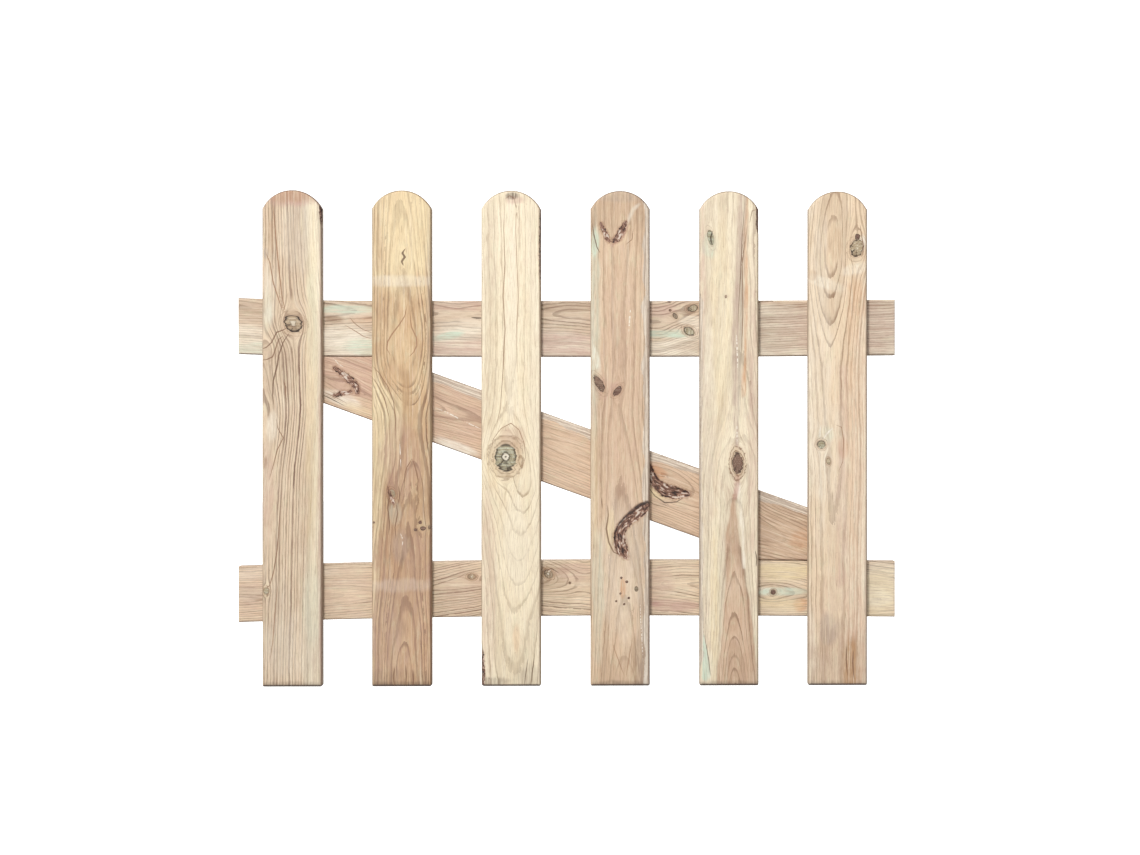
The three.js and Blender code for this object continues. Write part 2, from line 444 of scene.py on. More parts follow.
def sink_screws(back, spots):
    """Moves the back face's vertices into a countersink round each screw."""
    step_row, step_column = np.meshgrid(np.arange(-3, 4), np.arange(-3, 4), indexing="ij")
    ring = np.maximum(abs(step_row), abs(step_column))
    radius = np.choose(ring, [0.0, SINK_THROAT, SINK_RADIUS, 0.0])
    for screw_x, screw_z in spots:
        distance = np.hypot(back[:, :, 0] - screw_x, back[:, :, 2] - screw_z)
        r, c = np.unravel_index(np.argmin(distance), distance.shape)
        part = back[r - 3 : r + 4, c - 3 : c + 4]
        angle = np.arctan2(part[:, :, 2] - part[3, 3, 2], part[:, :, 0] - part[3, 3, 0])
        moved = ring < 3
        part[moved, 0] = (screw_x + radius * np.cos(angle))[moved]
        part[moved, 2] = (screw_z + radius * np.sin(angle))[moved]
        part[ring < 2, 1] -= SINK_DEPTH


def build_board(name, board, x, z, inside, arris, depths, to_local, half_width, axes, spots=()):
    """A board's object. x and z are its grid in the row's frame, inside is the distance to its outline,
    depths are its front and its thickness, and spots are where screws sink into its back."""
    front_y, thickness = depths
    across, along = to_local(x, z)
    sunk = relief(board, half_width, across.ravel(), along.ravel()).reshape(x.shape)
    front = np.minimum(roundover(inside, arris) + sunk, thickness * DEEPEST)
    back_points = np.stack([across.ravel(), along.ravel(), 0 * across.ravel() + thickness], 1)
    rough = 0.12 + 0.07 * smooth_noise(board.seed + 9, back_points, (40, 120, 40)).reshape(x.shape)
    back = np.stack([x, thickness - roundover(inside, arris) - rough, z], 2)
    sink_screws(back, spots)
    points, faces = board_shell(np.stack([x, front, z], 2), back, thickness)
    placed = points + [0, front_y, 0]
    obj = mesh_object(name, placed, faces)

    across, along = to_local(points[:, 0], points[:, 2])
    depth = points[:, 1].copy()
    ring, radius, bent = ring_field(board, across, along, depth)
    place, look, body = knot_fields(board, across, along)
    stains = stain_fields(board, across, along, depth, radius)
    on_front = near_front(depth)
    wane, wane_dark = wane_field(board, half_width, across, along)
    normals = np.zeros(3 * len(points), np.float32)
    obj.data.vertex_normals.foreach_get("vector", normals)
    end, side = (normals.reshape(-1, 3) @ np.array(axis) for axis in axes)
    store(obj.data, "ring", ring)
    store(obj.data, "grain", np.stack([bent, depth, along], 1))
    store(obj.data, "knot", place)
    store(obj.data, "knot_look", look)
    store(obj.data, "knot_body", body)
    for i in range(0, len(STAINS), 3):
        store(obj.data, f"stain_{i}", np.stack([stains[field] for field in STAINS[i : i + 3]], 1))
    store(obj.data, "line", line_field(board, across, along))
    bark = bark_field(board, across, along)
    bark[depth > BARK_DEPTH, 0] = -1
    store(obj.data, "bark", bark)
    store(obj.data, "wane", np.stack([wane - 2 * (1 - on_front), wane_dark, 0 * wane], 1))
    store(obj.data, "face", np.stack([end, side, on_front], 1))
    obj.data.materials.append(timber_material(name + "_timber", board))
    return obj


# ---- materials ----


class Graph:
    """A material's node tree, with short calls for the nodes that the timber needs."""

    def __init__(self, name):
        self.material = bpy.data.materials.new(name)
        self.material.use_nodes = True
        self.tree = self.material.node_tree
        self.tree.nodes.clear()

    def node(self, kind, **settings):
        node = self.tree.nodes.new(kind)
        for key, value in settings.items():
            setattr(node, key, value)
        return node

    def join(self, source, socket):
        """Links a socket, or sets a number or colour on it."""
        if isinstance(source, bpy.types.NodeSocket):
            self.tree.links.new(source, socket)
        else:
            socket.default_value = source

    def attribute(self, name, output="Fac"):
        return self.node("ShaderNodeAttribute", attribute_name=name).outputs[output]

    def split(self, name):
        node = self.node("ShaderNodeSeparateXYZ")
        self.join(self.attribute(name, "Vector"), node.inputs[0])
        return node.outputs

    def vector(self, x, y, z):
        node = self.node("ShaderNodeCombineXYZ")
        for i, item in enumerate((x, y, z)):
            self.join(item, node.inputs[i])
        return node.outputs[0]

    def math(self, operation, a, b=0.0, clamp=False):
        node = self.node("ShaderNodeMath", operation=operation, use_clamp=clamp)
        self.join(a, node.inputs[0])
        self.join(b, node.inputs[1])
        return node.outputs[0]

    def times(self, a, *others):
        """The product of all of them."""
        for other in others:
            a = self.math("MULTIPLY", a, other)
        return a

    def plus(self, a, *others):
        for other in others:
            a = self.math("ADD", a, other)
        return a

    def map(self, value, low, high, to_low=0.0, to_high=1.0, smooth=True):
        """to_low at low and to_high at high, held beyond them."""
        kind = "SMOOTHSTEP" if smooth else "LINEAR"
        node = self.node("ShaderNodeMapRange", interpolation_type=kind)
        for i, item in enumerate((value, low, high, to_low, to_high)):
            self.join(item, node.inputs[i])
        return node.outputs[0]

    def mix(self, share, a, b, blend="MIX"):
        """Goes from a to b as share goes from 0 to 1."""
        node = self.node("ShaderNodeMix", data_type="RGBA", blend_type=blend)
        node.clamp_factor = True
        self.join(share, node.inputs[0])
        self.join(a, node.inputs[6])
        self.join(b, node.inputs[7])
        return node.outputs[2]

    def noise(self, vector, scale, detail=2.0, roughness=0.5, dimensions="3D"):
        node = self.node("ShaderNodeTexNoise", noise_dimensions=dimensions)
        self.join(vector, node.inputs["W" if dimensions == "1D" else "Vector"])
        node.inputs["Scale"].default_value = scale
        node.inputs["Detail"].default_value = detail
        node.inputs["Roughness"].default_value = roughness
        return node.outputs[0]

    def stretch(self, vector, factors, offset=(0, 0, 0)):
        node = self.node("ShaderNodeMapping")
        self.join(vector, node.inputs["Vector"])
        node.inputs["Scale"].default_value = factors
        node.inputs["Location"].default_value = offset
        return node.outputs[0]

    def tint(self, wood, share, colour, blend="MIX"):
        """Lays a "#rrggbb" colour over the wood."""
        return self.mix(share, wood, linear(colour), blend)

    def bump(self, height, strength, distance):
        node = self.node("ShaderNodeBump")
        node.inputs["Strength"].default_value = strength
        node.inputs["Distance"].default_value = distance
        self.join(height, node.inputs["Height"])
        return node.outputs[0]

    def surface(self, settings):
        """Ends the material with a Principled shader that has those settings."""
        shader = self.node("ShaderNodeBsdfPrincipled")
        for name, source in settings.items():
            self.join(source, shader.inputs[name])
        output = self.node("ShaderNodeOutputMaterial")
        self.join(shader.outputs[0], output.inputs[0])
        return self.material


def growth_rings(g, board, grain):
    """The brown line and the tan shading that end each year's ring, from 0 to 1, and the ring number."""
    ring = g.attribute("ring")
    uneven = g.noise(g.plus(ring, board.seed * 3.7), 0.8, 2.0, dimensions="1D")
    shake = g.noise(g.stretch(grain, (0.20, 0.20, 0.055)), 1.0, 3.0, 0.6)
    wander = g.plus(ring, g.times(uneven, 1.1), g.times(shake, 0.42))
    part = g.math("FRACT", wander)
    line = g.map(part, 1 - board.thick, 1 - 0.4 * board.thick)
    tan = g.map(part, 0.25, 1.0)
    year = g.node("ShaderNodeTexWhiteNoise", noise_dimensions="1D")
    g.join(g.math("FLOOR", wander), year.inputs["W"])
    fade = g.noise(g.stretch(grain, (0.06, 0.06, 0.02), (board.seed, 3, 0)), 1.0, 2.0)
    of_year = g.map(year.outputs[0], 0.0, 1.0, 0.5, 1.0, smooth=False)
    strength = g.times(of_year, g.map(fade, 0.35, 0.6, 0.7, 1.0))
    return g.times(line, strength), g.times(tan, strength), wander


def add_knots(g, wood, grain):
    """Paints the knots: crowded rings round them, a broken bark ring, and a body with rings and checks."""
    x, y, radius = g.split("knot")
    rim, green, core = g.split("knot_look")
    tone, halo, _ = g.split("knot_body")
    uneven = g.noise(grain, 0.16, 3.0, 0.6)
    fine = g.noise(grain, 0.8, 3.0, 0.6)
    r = g.plus(radius, g.times(g.plus(uneven, -0.5), 0.9), g.times(g.plus(fine, -0.5), 0.18))
    round_it = g.times(g.map(r, 2.2, 1.0, 0.0, 1.0), halo)
    wood = g.tint(wood, g.times(round_it, 0.5), "#bd9a78")
    collar = g.times(g.map(g.math("FRACT", g.times(r, 2.4)), 0.60, 0.88), g.map(r, 2.0, 1.6))
    wood = g.tint(wood, g.times(collar, halo, 0.8), "#7c5a43")
    body = g.mix(tone, linear("#cdb594"), linear("#6b4b42"))
    body = g.tint(body, g.times(green, 0.7), "#9a9d80")
    rings = g.math("FRACT", g.plus(g.times(r, 4.3), g.times(fine, 0.8)))
    body = g.tint(body, g.map(rings, 0.45, 0.95, 0.0, 0.55), "#5e4435")
    fleck = g.mix(green, linear("#dccbb0"), linear("#dde4d2"))
    flecks = g.times(g.map(fine, 0.50, 0.60), g.map(tone, 0.0, 1.0, 0.8, 0.25))
    body = g.mix(flecks, body, fleck)
    over = g.plus(radius, 0.001)
    turn = g.vector(g.math("DIVIDE", x, over), g.math("DIVIDE", y, over), fine)
    checks = g.map(g.noise(turn, 2.6, 2.0), 0.58, 0.64)
    dark = g.times(checks, g.map(r, 0.15, 0.45), g.map(rim, 0.0, 1.0, 0.1, 0.9))
    body = g.tint(body, dark, "#33251c")
    outline = g.times(core, g.map(r, 0.26, 0.33), g.map(r, 0.50, 0.42))
    body = g.tint(body, g.times(core, g.map(r, 0.36, 0.30)), "#efe9d8")
    body = g.tint(body, g.times(outline, 0.8), "#4d4434")
    body = g.tint(body, g.times(core, g.map(r, 0.11, 0.05)), "#3f3428")
    wood = g.mix(g.map(r, 1.03, 0.95), wood, body)
    ring_here = g.times(g.map(r, 0.82, 0.93), g.map(r, 1.10, 0.99))
    broken = g.map(g.noise(grain, 0.12, 2.0), 0.38, 0.52, 0.35, 1.0)
    return g.tint(wood, g.times(ring_here, rim, broken), "#32241b")


def bark_colour(g, place):
    """Crumbled bark: nearly black hollows, brown and reddish plates and a few pale edges."""
    chunk = g.noise(place, 1.0, 3.0, 0.6)
    colour = g.mix(g.map(chunk, 0.38, 0.46), linear("#2d1f1a"), linear("#6c4d40"))
    colour = g.tint(colour, g.map(chunk, 0.50, 0.54), "#a5806c")
    return g.tint(colour, g.map(chunk, 0.56, 0.60), "#d6c7b9")


def add_edges(g, wood, grain, streaks):
    """Waney edges, bark pockets with a reddish margin, and painted shade on the edges, tops and feet."""
    wane, wane_dark, _ = g.split("wane")
    bark, bark_along, bark_across = g.split("bark")
    end, side, _ = g.split("face")
    ragged = g.plus(g.noise(grain, 0.25, 3.0, 0.6), -0.5)
    wane_here = g.map(g.plus(wane, g.times(ragged, 1.2)), -0.25, 0.25)
    strands = g.noise(g.stretch(grain, (0.55, 0.55, 0.010)), 1.0, 3.0, 0.6)
    skin = g.mix(g.map(strands, 0.42, 0.58), linear("#e8dfd0"), linear("#b5a698"))
    skin = g.tint(skin, g.map(strands, 0.62, 0.72, 0.0, 0.7), "#8d837b")
    wood = g.mix(g.times(wane_here, g.plus(g.times(wane_dark, -1.0), 1.0), 0.8), wood, skin)
    wood = g.mix(g.times(wane_here, wane_dark), wood, bark_colour(g, g.stretch(grain, (0.4, 0.4, 0.2))))

    edge = g.plus(bark, g.times(ragged, 2.0))
    plates = g.vector(g.times(bark_across, 0.26), g.times(bark_along, 0.085), g.times(streaks, 2.0))
    wood = g.tint(wood, g.map(edge, -0.9, -0.05, 0.0, 0.5), "#9a6f55")
    wood = g.mix(g.map(edge, -0.04, 0.06), wood, bark_colour(g, plates))

    # painted shade on the rounded long edges: darkest on a picket's right edge and a rail's or the brace's
    # lower edge, weaker on the opposite edge
    wood = g.tint(wood, g.map(side, 0.15, 0.6, 0.0, 0.6), "#86695c", "MULTIPLY")
    wood = g.tint(wood, g.map(side, -0.4, -0.9, 0.0, 0.4), "#8f7466", "MULTIPLY")
    # a picket's top is darker, partly from its end grain and partly from painted shade on the rounded
    # arris; the foot's arris gets strong painted shade
    wood = g.tint(wood, g.map(end, 0.25, 0.75, 0.0, 0.75), "#857160", "MULTIPLY")
    return g.tint(wood, g.map(end, -0.02, -0.32, 0.0, 0.85), "#453b38"), edge


def timber_material(name, board):
    """A board's wood: spring wood, growth rings, stains, knots, edges and cracks, one over the other."""
    g = Graph(name)
    grain = g.attribute("grain", "Vector")
    stains = dict(zip(STAINS, [part for i in range(0, len(STAINS), 3) for part in g.split(f"stain_{i}")]))
    signed, half, line_tint = g.split("line")
    _, _, front = g.split("face")

    line, tan, wander = growth_rings(g, board, grain)
    fibre = g.noise(g.stretch(grain, (1.3, 1.3, 0.05)), 1.0, 4.0, 0.7)
    strands = g.noise(g.stretch(grain, (0.42, 0.42, 0.008), (0, board.seed, 0)), 1.0, 3.0, 0.65)
    streaks = g.noise(g.stretch(grain, (0.22, 0.22, 0.005), (board.seed, 0, 0)), 1.0, 3.0, 0.6)
    mottle = g.noise(g.stretch(grain, (0.05, 0.05, 0.018), (0, 0, board.seed)), 1.0, 3.0, 0.6)
    bands = g.noise(g.plus(wander, board.seed * 1.3), 0.4, 1.0, dimensions="1D")
    blotch = g.noise(g.stretch(grain, (0.11, 0.11, 0.035), (5, 0, board.seed)), 1.0, 4.0, 0.65)

    # spring wood, from sapwood to heartwood, with its faint reds and greens and the darker lines in it
    heart_here = g.math("ADD", stains["heart"], g.map(mottle, 0.35, 0.65, -0.2, 0.2), clamp=True)
    wood = g.mix(heart_here, linear(board.sap), linear(board.heart))
    for field, low, high, amount, colour in (
        (blotch, 0.52, 0.70, 0.20, "#dcbcae"),
        (blotch, 0.48, 0.32, 0.30, "#dcd9b8"),
        (bands, 0.45, 0.65, 0.18, board.late),
        (streaks, 0.54, 0.76, 0.24, "#bd9c7e"),
        (streaks, 0.48, 0.28, 0.26, "#f3e9d4"),
        (strands, 0.52, 0.66, 0.13, "#a98a6e"),
        (strands, 0.46, 0.36, 0.18, "#f6eedd"),
    ):
        wood = g.tint(wood, g.map(field, low, high, 0.0, amount), colour)
    clear = g.times(g.map(heart_here, 0.0, 1.0, 0.6, 1.0), g.map(stains["plain"], 0.0, 1.0, 1.0, 0.12))
    clear = g.times(clear, g.map(stains["busy"], 0.0, 1.0, 1.0, 1.45))
    wood = g.tint(wood, g.times(tan, clear, board.contrast * 0.22), board.late)
    wood = g.tint(wood, g.times(line, clear, board.contrast), board.late)

    # stains, broken up along the fibres
    breakup = g.map(g.plus(g.times(blotch, 0.4), g.times(strands, 0.6)), 0.40, 0.58, 0.4, 1.12)
    for field, (strength, colour) in STAIN_LOOKS.items():
        wood = g.tint(wood, g.times(stains[field], breakup, strength), colour)

    wood = add_knots(g, wood, grain)
    wood, bark_edge = add_edges(g, wood, grain, streaks)

    # cracks, scratches, resin ducts and worn fibres
    inside = g.math("SUBTRACT", half, g.math("ABSOLUTE", signed))
    dashes = g.map(g.noise(g.stretch(grain, (0.1, 0.1, 0.22)), 1.0, 1.0), 0.44, 0.52)
    unbroken = g.math("MAXIMUM", dashes, g.map(line_tint, 0.99, 0.96))
    line_here = g.times(g.map(inside, 0.0, 0.35), front, unbroken, g.map(fibre, 0.3, 0.55, 0.55, 1.0))
    line_colour = g.mix(g.map(line_tint, 0.0, 0.5, smooth=False), linear("#3a281e"), linear("#a87d5f"))
    line_colour = g.tint(line_colour, g.map(line_tint, 0.5, 1.0, smooth=False), "#f7f1e4")
    wood = g.mix(g.times(line_here, 0.85), wood, line_colour)
    duct = g.noise(g.stretch(grain, (1.1, 1.1, 0.045), (0, 9, board.seed)), 1.0, 1.0)
    wood = g.tint(wood, g.map(duct, 0.68, 0.76, 0.0, 0.45), "#8d6b50")
    wood = g.tint(wood, g.map(fibre, 0.28, 0.60, 0.42, 0.0), "#a1866b", "MULTIPLY")

    rough = g.plus(g.map(fibre, 0.3, 0.7, 0.60, 0.74), g.times(line, -0.10))
    chunks = g.times(g.map(bark_edge, -0.04, 0.06), g.noise(grain, 0.28, 4.0, 0.65))
    height = g.plus(g.times(line, 0.35), g.times(fibre, 0.8), g.times(chunks, 3.0))
    height = g.plus(height, g.times(line_here, -1.5))
    return g.surface({
        "Base Color": wood,
        "Roughness": rough,
        "Specular IOR Level": 0.35,
        "Normal": g.bump(height, 0.4, 0.0004),
    })


def plated_steel():
    """Zinc plate with a thin yellow passivation, scratched by the driver."""
    g = Graph("plated_steel")
    place = g.node("ShaderNodeTexCoord").outputs["Object"]
    tarnish = g.noise(place, 900.0, 3.0, 0.6)
    scratch = g.noise(g.stretch(place, (5000, 400, 900)), 1.0, 2.0, 0.6)
    colour = g.mix(g.map(tarnish, 0.35, 0.65), linear("#c9bd94"), linear("#a89a72"))
    colour = g.tint(colour, g.map(scratch, 0.55, 0.75, 0.0, 0.5), "#dcdad2")
    return g.surface({
        "Base Color": colour,
        "Roughness": g.map(tarnish, 0.3, 0.7, 0.28, 0.46),
        "Metallic": 0.95,
        "Normal": g.bump(scratch, 0.2, 0.0001),
    })


# ---- the boards' own wood ----

# tan, close straight lines, a round knot with the grain fanning from its lower left
PICKET_1 = Board(
    seed=11, spacing=4.4, wobble=0.4, heart_radius=81, contrast=0.74, thick=0.42,
    sap="#f3e8cf", heart="#e0cbb0", late="#75584a",
    pith=[(0, -62, 10), (330, -60, 6), (420, -52, 8), (560, -62, 10), (750, -66, 6)],
    knots=[
        Knot(2, 548, 28, 23, 1, 0.35, 0.1, 0.4, 0.4, -25), Knot(-39, 145, 9, 10, 0.45, 0.25, 0.5, 0, 0.6),
    ],
    bends=[Bend(-48, 385, 40, 110), Bend(-42, 515, 36, 50)],
    patches={
        "pale": [
            (-34, 590, 18, 90, 0.5), (-29, 392, 16, 44, 0.5), (6, 680, 50, 110, 0.3),
            (0, 60, 100, 90, 0.25),
        ],
        "shade": [
            (4, 650, 26, 190, 0.25), (-10, 490, 36, 90, 0.3), (-42, 338, 8, 22, 0.7),
            (30, 180, 40, 440, 0.3),
        ],
        "plain": [
            (-34, 300, 20, 220, 0.9), (-36, 600, 18, 160, 0.6), (2, 574, 18, 34, 0.9),
            (4, 522, 16, 26, 0.8), (32, 380, 24, 800, 0.7), (-30, 70, 26, 120, 0.4),
        ],
        "busy": [(2, 420, 34, 240, 0.8)],
        "grey": [(8, 690, 40, 120, 0.25), (-39, 655, 8, 16, 0.9), (-20, 90, 40, 150, 0.3)],
        "tan": [(-34, 690, 16, 80, 0.3), (0, 742, 84, 22, 0.5)],
        "pink": [(0, 738, 84, 26, 0.8), (-36, 290, 16, 140, 0.35), (43, 330, 8, 700, 0.5)],
        "green": [(-38, 565, 16, 70, 0.35), (30, 120, 30, 110, 0.35), (30, 560, 16, 160, 0.3)],
        "dark": [(0, 2, 110, 12, 0.35)],
        "yellow": [(30, 470, 18, 560, 0.45)],
    },
    lines=[
        Line(0.4, 2.4, [(-29, 735), (-25, 690), (-21, 645), (-15, 590), (-9, 562)]),
        Line(0.4, 2.2, [(-40, 657), (-33, 640), (-28, 610), (-20, 585), (-12, 562)]),
        Line(0.2, 2.4, [(-4, 545), (-12, 539), (-23, 535), (-31, 519), (-39, 512), (-46, 510)]),
        Line(0.25, 2.2, [(-13, 530), (-20, 524), (-25, 509), (-29, 498), (-38, 494), (-46, 493)]),
        Line(0.15, 2.8, [
            (-3, 536), (-13, 520), (-20, 500), (-22, 485), (-28, 462), (-29, 440), (-27, 424),
        ]),
        Line(0.3, 1.8, [(-13, 462), (-9, 452), (-10, 437)]),
        Line(0.3, 1.8, [(-25, 412), (-21, 390), (-13, 376), (-22, 358), (-29, 331), (-35, 310)]),
        Line(0.3, 2, [(-17, 282), (-19, 250), (-22, 209), (-28, 172), (-34, 152), (-39, 151)]),
        Line(0.4, 1.6, [(-20, 165), (-26, 110), (-29, 67), (-34, 36)]),
    ],
    wanes=[Wane(1, 690, 745, 5, 3, 1)],
)

# warm, with a pear-shaped oval and the lines sweeping in below it
PICKET_2 = Board(
    seed=23, spacing=3.4, wobble=1.2, heart_radius=62, contrast=0.7, thick=0.36,
    sap="#f0dcb4", heart="#d2b089", late="#6b4a33",
    pith=[
        (0, 5, 35), (60, 5, 37), (100, 6, 39), (147, 7, 42), (200, 9, 44), (260, 12, 46), (300, 15, 48),
        (338, 16, 51), (380, 14, 53), (414, 12, 53), (440, 9, 48), (465, 5, 42), (490, 3, 38),
        (515, 3, 37), (545, 4, 38), (590, 3, 40), (640, 0, 42), (750, -4, 46),
    ],
    knots=[
        Knot(-15, 291, 10, 14, 0.3, 0.4, 0.4, 0, 0.8, 10), Knot(28, 248, 5, 5, 1, 1, 0, 0, 0.2),
        Knot(21, 237, 5.4, 4.6, 1, 1, 0, 0, 0.2), Knot(32, 239, 8, 6, 1, 0.9, 0, 0, 0.2),
        Knot(42, 241, 5, 6, 0.7, 0.6), Knot(-42, 248, 4, 4, 0.8, 0.8, 0, 0, 0.2),
    ],
    bends=[Bend(3, 650, 16, 50)],
    patches={
        "plain": [(2, 520, 40, 70, 1), (0, 476, 44, 40, 0.9), (6, 415, 18, 70, 0.8)],
        "tan": [(0, 515, 110, 170, 0.15), (-10, 210, 40, 90, 0.3), (8, 430, 14, 80, 0.4)],
        "busy": [
            (36, 560, 18, 260, 0.8), (-34, 440, 22, 130, 0.8), (38, 400, 16, 500, 0.6),
            (0, 100, 100, 240, 0.6),
        ],
        "shade": [
            (0, 250, 110, 340, 0.45), (0, 40, 110, 110, 0.2), (-10, 285, 22, 60, 0.5),
            (-34, 600, 20, 240, 0.2),
        ],
        "dark": [(0, 8, 110, 36, 0.2), (0, 2, 110, 12, 0.4)],
        "yellow": [(14, 690, 76, 160, 0.6)],
        "heart": [(0, 700, 150, 200, -0.8), (0, 500, 150, 260, -0.3)],
        "pale": [(0, 613, 130, 17, 0.5, 0, 0.3), (0, 153, 130, 18, 0.4, 0, 0.45)],
        "pink": [(0, 120, 120, 280, 0.35), (0, 340, 60, 120, 0.35)],
        "grey": [(-26, 60, 60, 180, 0.25), (-2, 213, 26, 46, 0.8), (42, 560, 10, 330, 0.45)],
        "green": [(-10, 262, 18, 34, 0.5)],
    },
    lines=[
        Line(0.45, 2.4, [(9, 580), (5, 560), (-4, 546), (-14, 533), (-21, 521), (-22, 510), (-16, 499)]),
        Line(0.45, 2.4, [(12, 580), (13, 556), (15, 543), (22, 528), (23, 515), (18, 505), (11, 498)]),
        Line(0.1, 3.6, [(6, 662), (1, 655), (5, 649), (0, 642), (3, 636)]),
        Line(0.3, 2.2, [(3, 290), (5, 322), (8, 331), (16, 345)]),
        Line(0.3, 2.2, [(16, 345), (21, 330), (25, 312), (23, 290)]),
        Line(0.2, 1.8, [(-5, 304), (-3, 292), (-4, 276)]),
        Line(1, 1.6, [(-3, 372), (-2, 352), (-1, 330)]),
        Line(0.2, 2.2, [(-23, 308), (-18, 290), (-21, 270), (-18, 246), (-20, 228)]),
        Line(0.25, 2, [(-9, 282), (-6, 262), (-10, 240), (-8, 222)]),
        Line(0.3, 1.8, [(-46, 487), (-34, 474), (-20, 452), (-12, 430), (-9, 400), (-11, 350)]),
        Line(1, 1.8, [(-2, 232), (2, 222), (1, 212)]),
        Line(0.3, 1.8, [(-46, 470), (-36, 456), (-26, 436), (-19, 408), (-18, 360)]),
        Line(0.2, 2.4, [(-11, 30), (-12, 14), (-11, 0)]), Line(0.2, 2.2, [(6, 34), (7, 16), (6, 0)]),
        Line(0.25, 2.4, [(17, 26), (18, 12), (17, 0)]),
    ],
    barks=[Bark(0.6, [(-20, 300, 2), (-18, 290, 4), (-13, 281, 4), (-12, 274, 2)])],
)

# the palest, with one large knot and nested curves below it
PICKET_3 = Board(
    seed=37, spacing=5, wobble=1.6, heart_radius=22, contrast=0.7, thick=0.22,
    sap="#f5e9cf", heart="#ecdabb", late="#84664a",
    pith=[
        (0, 4, 62), (120, 8, 55), (178, 12, 48), (249, 14, 38), (302, 12, 29), (345, 0, 24),
        (380, -4, 32), (420, -2, 36), (560, -1, 34), (750, -1, 32),
    ],
    knots=[Knot(-8, 347, 33, 40, 0.85, 0.15, 0.9, 0.95, 0.55)],
    patches={
        "pale": [(0, 560, 18, 380, 0.5), (8, 215, 38, 150, 0.5), (36, 400, 16, 500, 0.3)],
        "pink": [(2, 376, 36, 36, 0.4), (-34, 150, 24, 280, 0.35), (6, 736, 30, 14, 0.6)],
        "tan": [(2, 376, 40, 36, 0.25)],
        "plain": [(0, 610, 26, 270, 0.7)],
        "busy": [(0, 290, 100, 110, 0.9), (0, 20, 100, 60, 0.8)],
        "yellow": [(0, 300, 90, 700, 0.25), (-30, 330, 22, 60, 0.3)],
        "dark": [(26, 14, 36, 34, 0.25), (2, 742, 22, 12, 0.7), (-30, 8, 50, 12, 0.45)],
        "shade": [(-30, 560, 20, 380, 0.25)],
        "resin": [(8, 74, 10, 40, 0.3)],
    },
    lines=[
        Line(0.1, 1.6, [(26, 44), (22, 18), (20, 0)]), Line(0.1, 1.6, [(36, 52), (32, 20), (31, 0)]),
        Line(0.35, 1.8, [
            (-9, 742), (-11, 690), (-9, 640), (-12, 590), (-9, 540), (-12, 480), (-16, 420),
            (-24, 384),
        ]),
        Line(0.45, 1.4, [(9, 735), (7, 690), (9, 640), (11, 590), (8, 530), (10, 470)]),
        Line(0.4, 1.6, [
            (-30, 352), (-27, 374), (-15, 390), (0, 398), (12, 388), (20, 368), (22, 346),
            (15, 326),
        ]),
        Line(0.3, 1.4, [(12, 700), (5, 738), (-2, 742), (-10, 736)]),
    ],
    wanes=[Wane(-1, -30, 66, 6, 5, 1), Wane(1, 600, 742, 2.4, 1, 0.8)],
)

